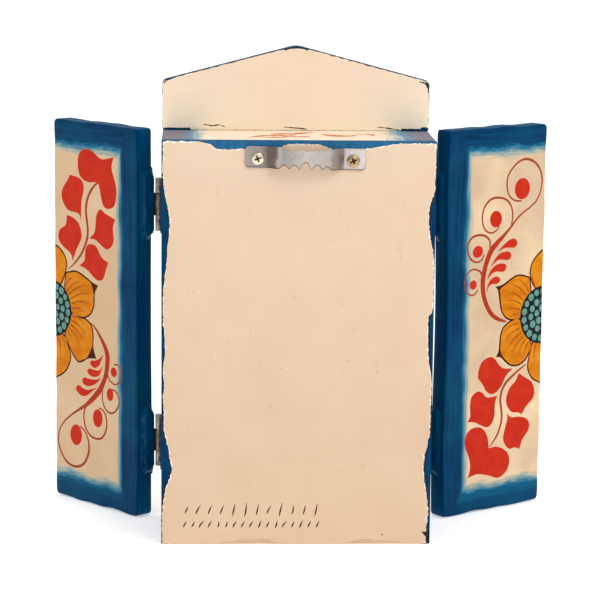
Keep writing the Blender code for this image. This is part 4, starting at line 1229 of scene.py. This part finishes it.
boardPaint = makeBoardPaint()
for node in ("side_left", "side_right", "bottom_board"):
    wear(node, boardPaint)
for name, node, tones in (
    ("yellow zinc screw", "hanger_screw_1", ("cdbf9c", "f2ead2")),
    ("tarnished yellow zinc screw", "hanger_screw_2", ("94795a", "d2b68e")),
):
    wear(node, makeYellowZinc(name, node, tones))
# Each side's hinges are painted from this far out from the pin, in mm
for side, label, paintFrom in ((1, "right", 1.75), (-1, "left", 0.9)):
    pale = makeHingeSteel(label + " box leaf steel", side, paintFrom, ("a8947e", "e6d4c0"))
    brown = makeHingeSteel(label + " door leaf steel", side, paintFrom, ("6a543c", "b8997a"))
    for node in frame["nodes"]:
        if node.startswith("hinge_" + label):
            wear(node, brown if "door" in node else pale)
print("boards and fittings finished")

# Sawtooth hanger: one strip bent out from its two tabs, scalloped along its lower edge
hangerSpec = {
    "tab": 11.6, "riser": 5.8, "rise": 4.9, "bow": 2.4, "thick": 0.8, "corner": 1.6,
    "tall": 11.3, "long": 63.5, "tilt": 1.2, "below": 8.95, "column": 0.35, "rows": 6,
    # How much lower the top edge lies in the middle
    "dip": 1.1,
    # Greys from the right-hand end to the left: paler towards the right-hand end as painted light,
    # with painted dark reflections at the two bends. Then the colour of the darker lower edge
    "greysAndPaintedLight": ((0.0, "dcd3ce"), (0.16, "cbc2bd"), (0.2, "8c8078"), (0.27, "988d85"),
                (0.3, "b4aca6"), (0.5, "c8c0b8"), (0.68, "a8a19b"), (0.72, "bdb5af"),
                (0.745, "73675e"), (0.81, "7a6e66"), (0.86, "988c88"), (1.0, "a89e9a")),
    "lowerEdgeDark": "5a4a40",
    # Each scallop is its centre, half width and depth
    "scallops": ((11.2, 2.7, 2.0), (5.9, 2.6, 2.3), (0.2, 3.1, 3.9), (-5.9, 2.9, 2.6),
                 (-11.1, 2.2, 1.8)),
}


def buildHanger():
    spec = hangerSpec
    low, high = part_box("sawtooth_hanger")
    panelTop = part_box("back_panel")[1]
    middle = Vector(((low.x + high.x) / 2, low.y, panelTop.z - spec["below"] * mm))
    half, tall = spec["long"] / 2, spec["tall"] / 2
    foot = half - spec["tab"]
    crown = foot - spec["riser"]

    def offset(along):
        away = abs(along)
        if away >= foot:
            return 0.0
        if away >= crown:
            share = (foot - away) / spec["riser"]
            eased = share * share * (3 - 2 * share)
            return spec["rise"] * (0.6 * share + 0.4 * eased)
        return spec["rise"] + spec["bow"] * (1 - (away / crown) ** 2)

    def edges(along):
        bottom, top = -tall, tall
        inCorner = max(0.0, abs(along) - (half - spec["corner"]))
        cut = spec["corner"] - math.sqrt(max(spec["corner"] ** 2 - inCorner ** 2, 0.0))
        for centre, wide, deep in spec["scallops"]:
            share = abs(along - centre) / wide
            if share < 1:
                bottom = -tall + deep * (1 - share ** 1.7)
        if abs(along) < crown:
            top -= spec["dip"] * (1 - (along / crown) ** 4)
        return bottom + cut, top - cut

    # A grid of columns and rows for each face of the strip, and walls along its four edges
    rows, count = spec["rows"], round(spec["long"] / spec["column"])
    vertices, faces, stripMm = [], [], []
    for layer in (0, 1):
        for column in range(count + 1):
            along = -half + spec["long"] * column / count
            slope = (offset(along + 0.05) - offset(along - 0.05)) / 0.1
            out = Vector((-slope, 1.0)).normalized() * spec["thick"] * layer
            bottom, top = edges(along)
            for row in range(rows + 1):
                height = bottom + (top - bottom) * row / rows
                vertices.append(Vector((along + out.x, offset(along) + out.y, height)) * mm)
                stripMm += (along + half, height - bottom, layer * spec["thick"])
    sheet = (count + 1) * (rows + 1)

    def corner(column, row):
        return column * (rows + 1) + row

    for i in range(count):
        for row in range(rows):
            a, b = corner(i, row), corner(i + 1, row)
            faces.append((a, b, b + 1, a + 1))
            faces.append((sheet + a, sheet + a + 1, sheet + b + 1, sheet + b))
        for row, turned in ((0, False), (rows, True)):
            a, b = corner(i, row), corner(i + 1, row)
            wall = (a, sheet + a, sheet + b, b)
            faces.append(wall[::-1] if turned else wall)
    for i, turned in ((0, True), (count, False)):
        for row in range(rows):
            a = corner(i, row)
            wall = (a, sheet + a, sheet + a + 1, a + 1)
            faces.append(wall[::-1] if turned else wall)
    turn = Matrix.Translation(middle) @ Matrix.Rotation(math.radians(-spec["tilt"]), 4, "Y")
    mesh = makeSheetMesh("hanger_strip", [turn @ v for v in vertices], faces, "stripMm", stripMm)
    mesh.materials.append(makeZincSteel())
    strip = addObject("hanger_strip", mesh)
    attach(strip, "box")
    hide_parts("sawtooth_hanger")


buildHanger()
print("hanger bent")

# Studio
studioSpec = {
    "floor": 14.0, "paper": "f6f6f6", "glow": 0.42, "horizon": 0.38, "zenith": 1.15,
    "key": 9.0, "keyPlace": (-0.9, 1.2, 1.5), "keyAim": (0, 0, 0.12), "keySize": (1.1, 0.8),
}


def buildStudio(spec):
    mesh = bpy.data.meshes.new("floor")
    half = spec["floor"] / 2
    mesh.from_pydata([(x, y, 0) for x, y in rectangle(-half, -half, half, half)], [],
                     [(0, 1, 2, 3)])
    paper = newFinish(
        "white backdrop paper", Roughness=0.9, Specular_IOR_Level=0.1,
        Base_Color=paintColour(spec["paper"]), Emission_Color=paintColour("ffffff"),
        Emission_Strength=spec["glow"])[0]
    mesh.materials.append(paper)
    addObject("floor", mesh)

    # A sky that is brighter overhead, and one soft box behind the camera's shoulder
    world = bpy.data.worlds.new("studio")
    bpy.context.scene.world = world
    world.use_nodes = True
    tree = world.node_tree
    way = addNode(tree, "TexCoord").outputs["Generated"]
    height = addNode(tree, "SeparateXYZ", {0: way}).outputs[2]
    glow = addNode(tree, "MapRange", {0: height, 3: spec["horizon"], 4: spec["zenith"]})
    background = tree.nodes["Background"]
    background.inputs[0].default_value = paintColour("ffffff")
    tree.links.new(glow.outputs[0], background.inputs[1])
    data = bpy.data.lights.new("key light", "AREA")
    data.shape = "RECTANGLE"
    data.size, data.size_y = spec["keySize"]
    data.energy = spec["key"]
    lamp = addObject("key light", data)
    lamp.location = spec["keyPlace"]
    aim = Vector(spec["keyAim"]) - Vector(spec["keyPlace"])
    lamp.rotation_euler = aim.to_track_quat("-Z", "Y").to_euler()
    bpy.context.scene.view_settings.view_transform = "Standard"


buildStudio(studioSpec)
print("studio lit")
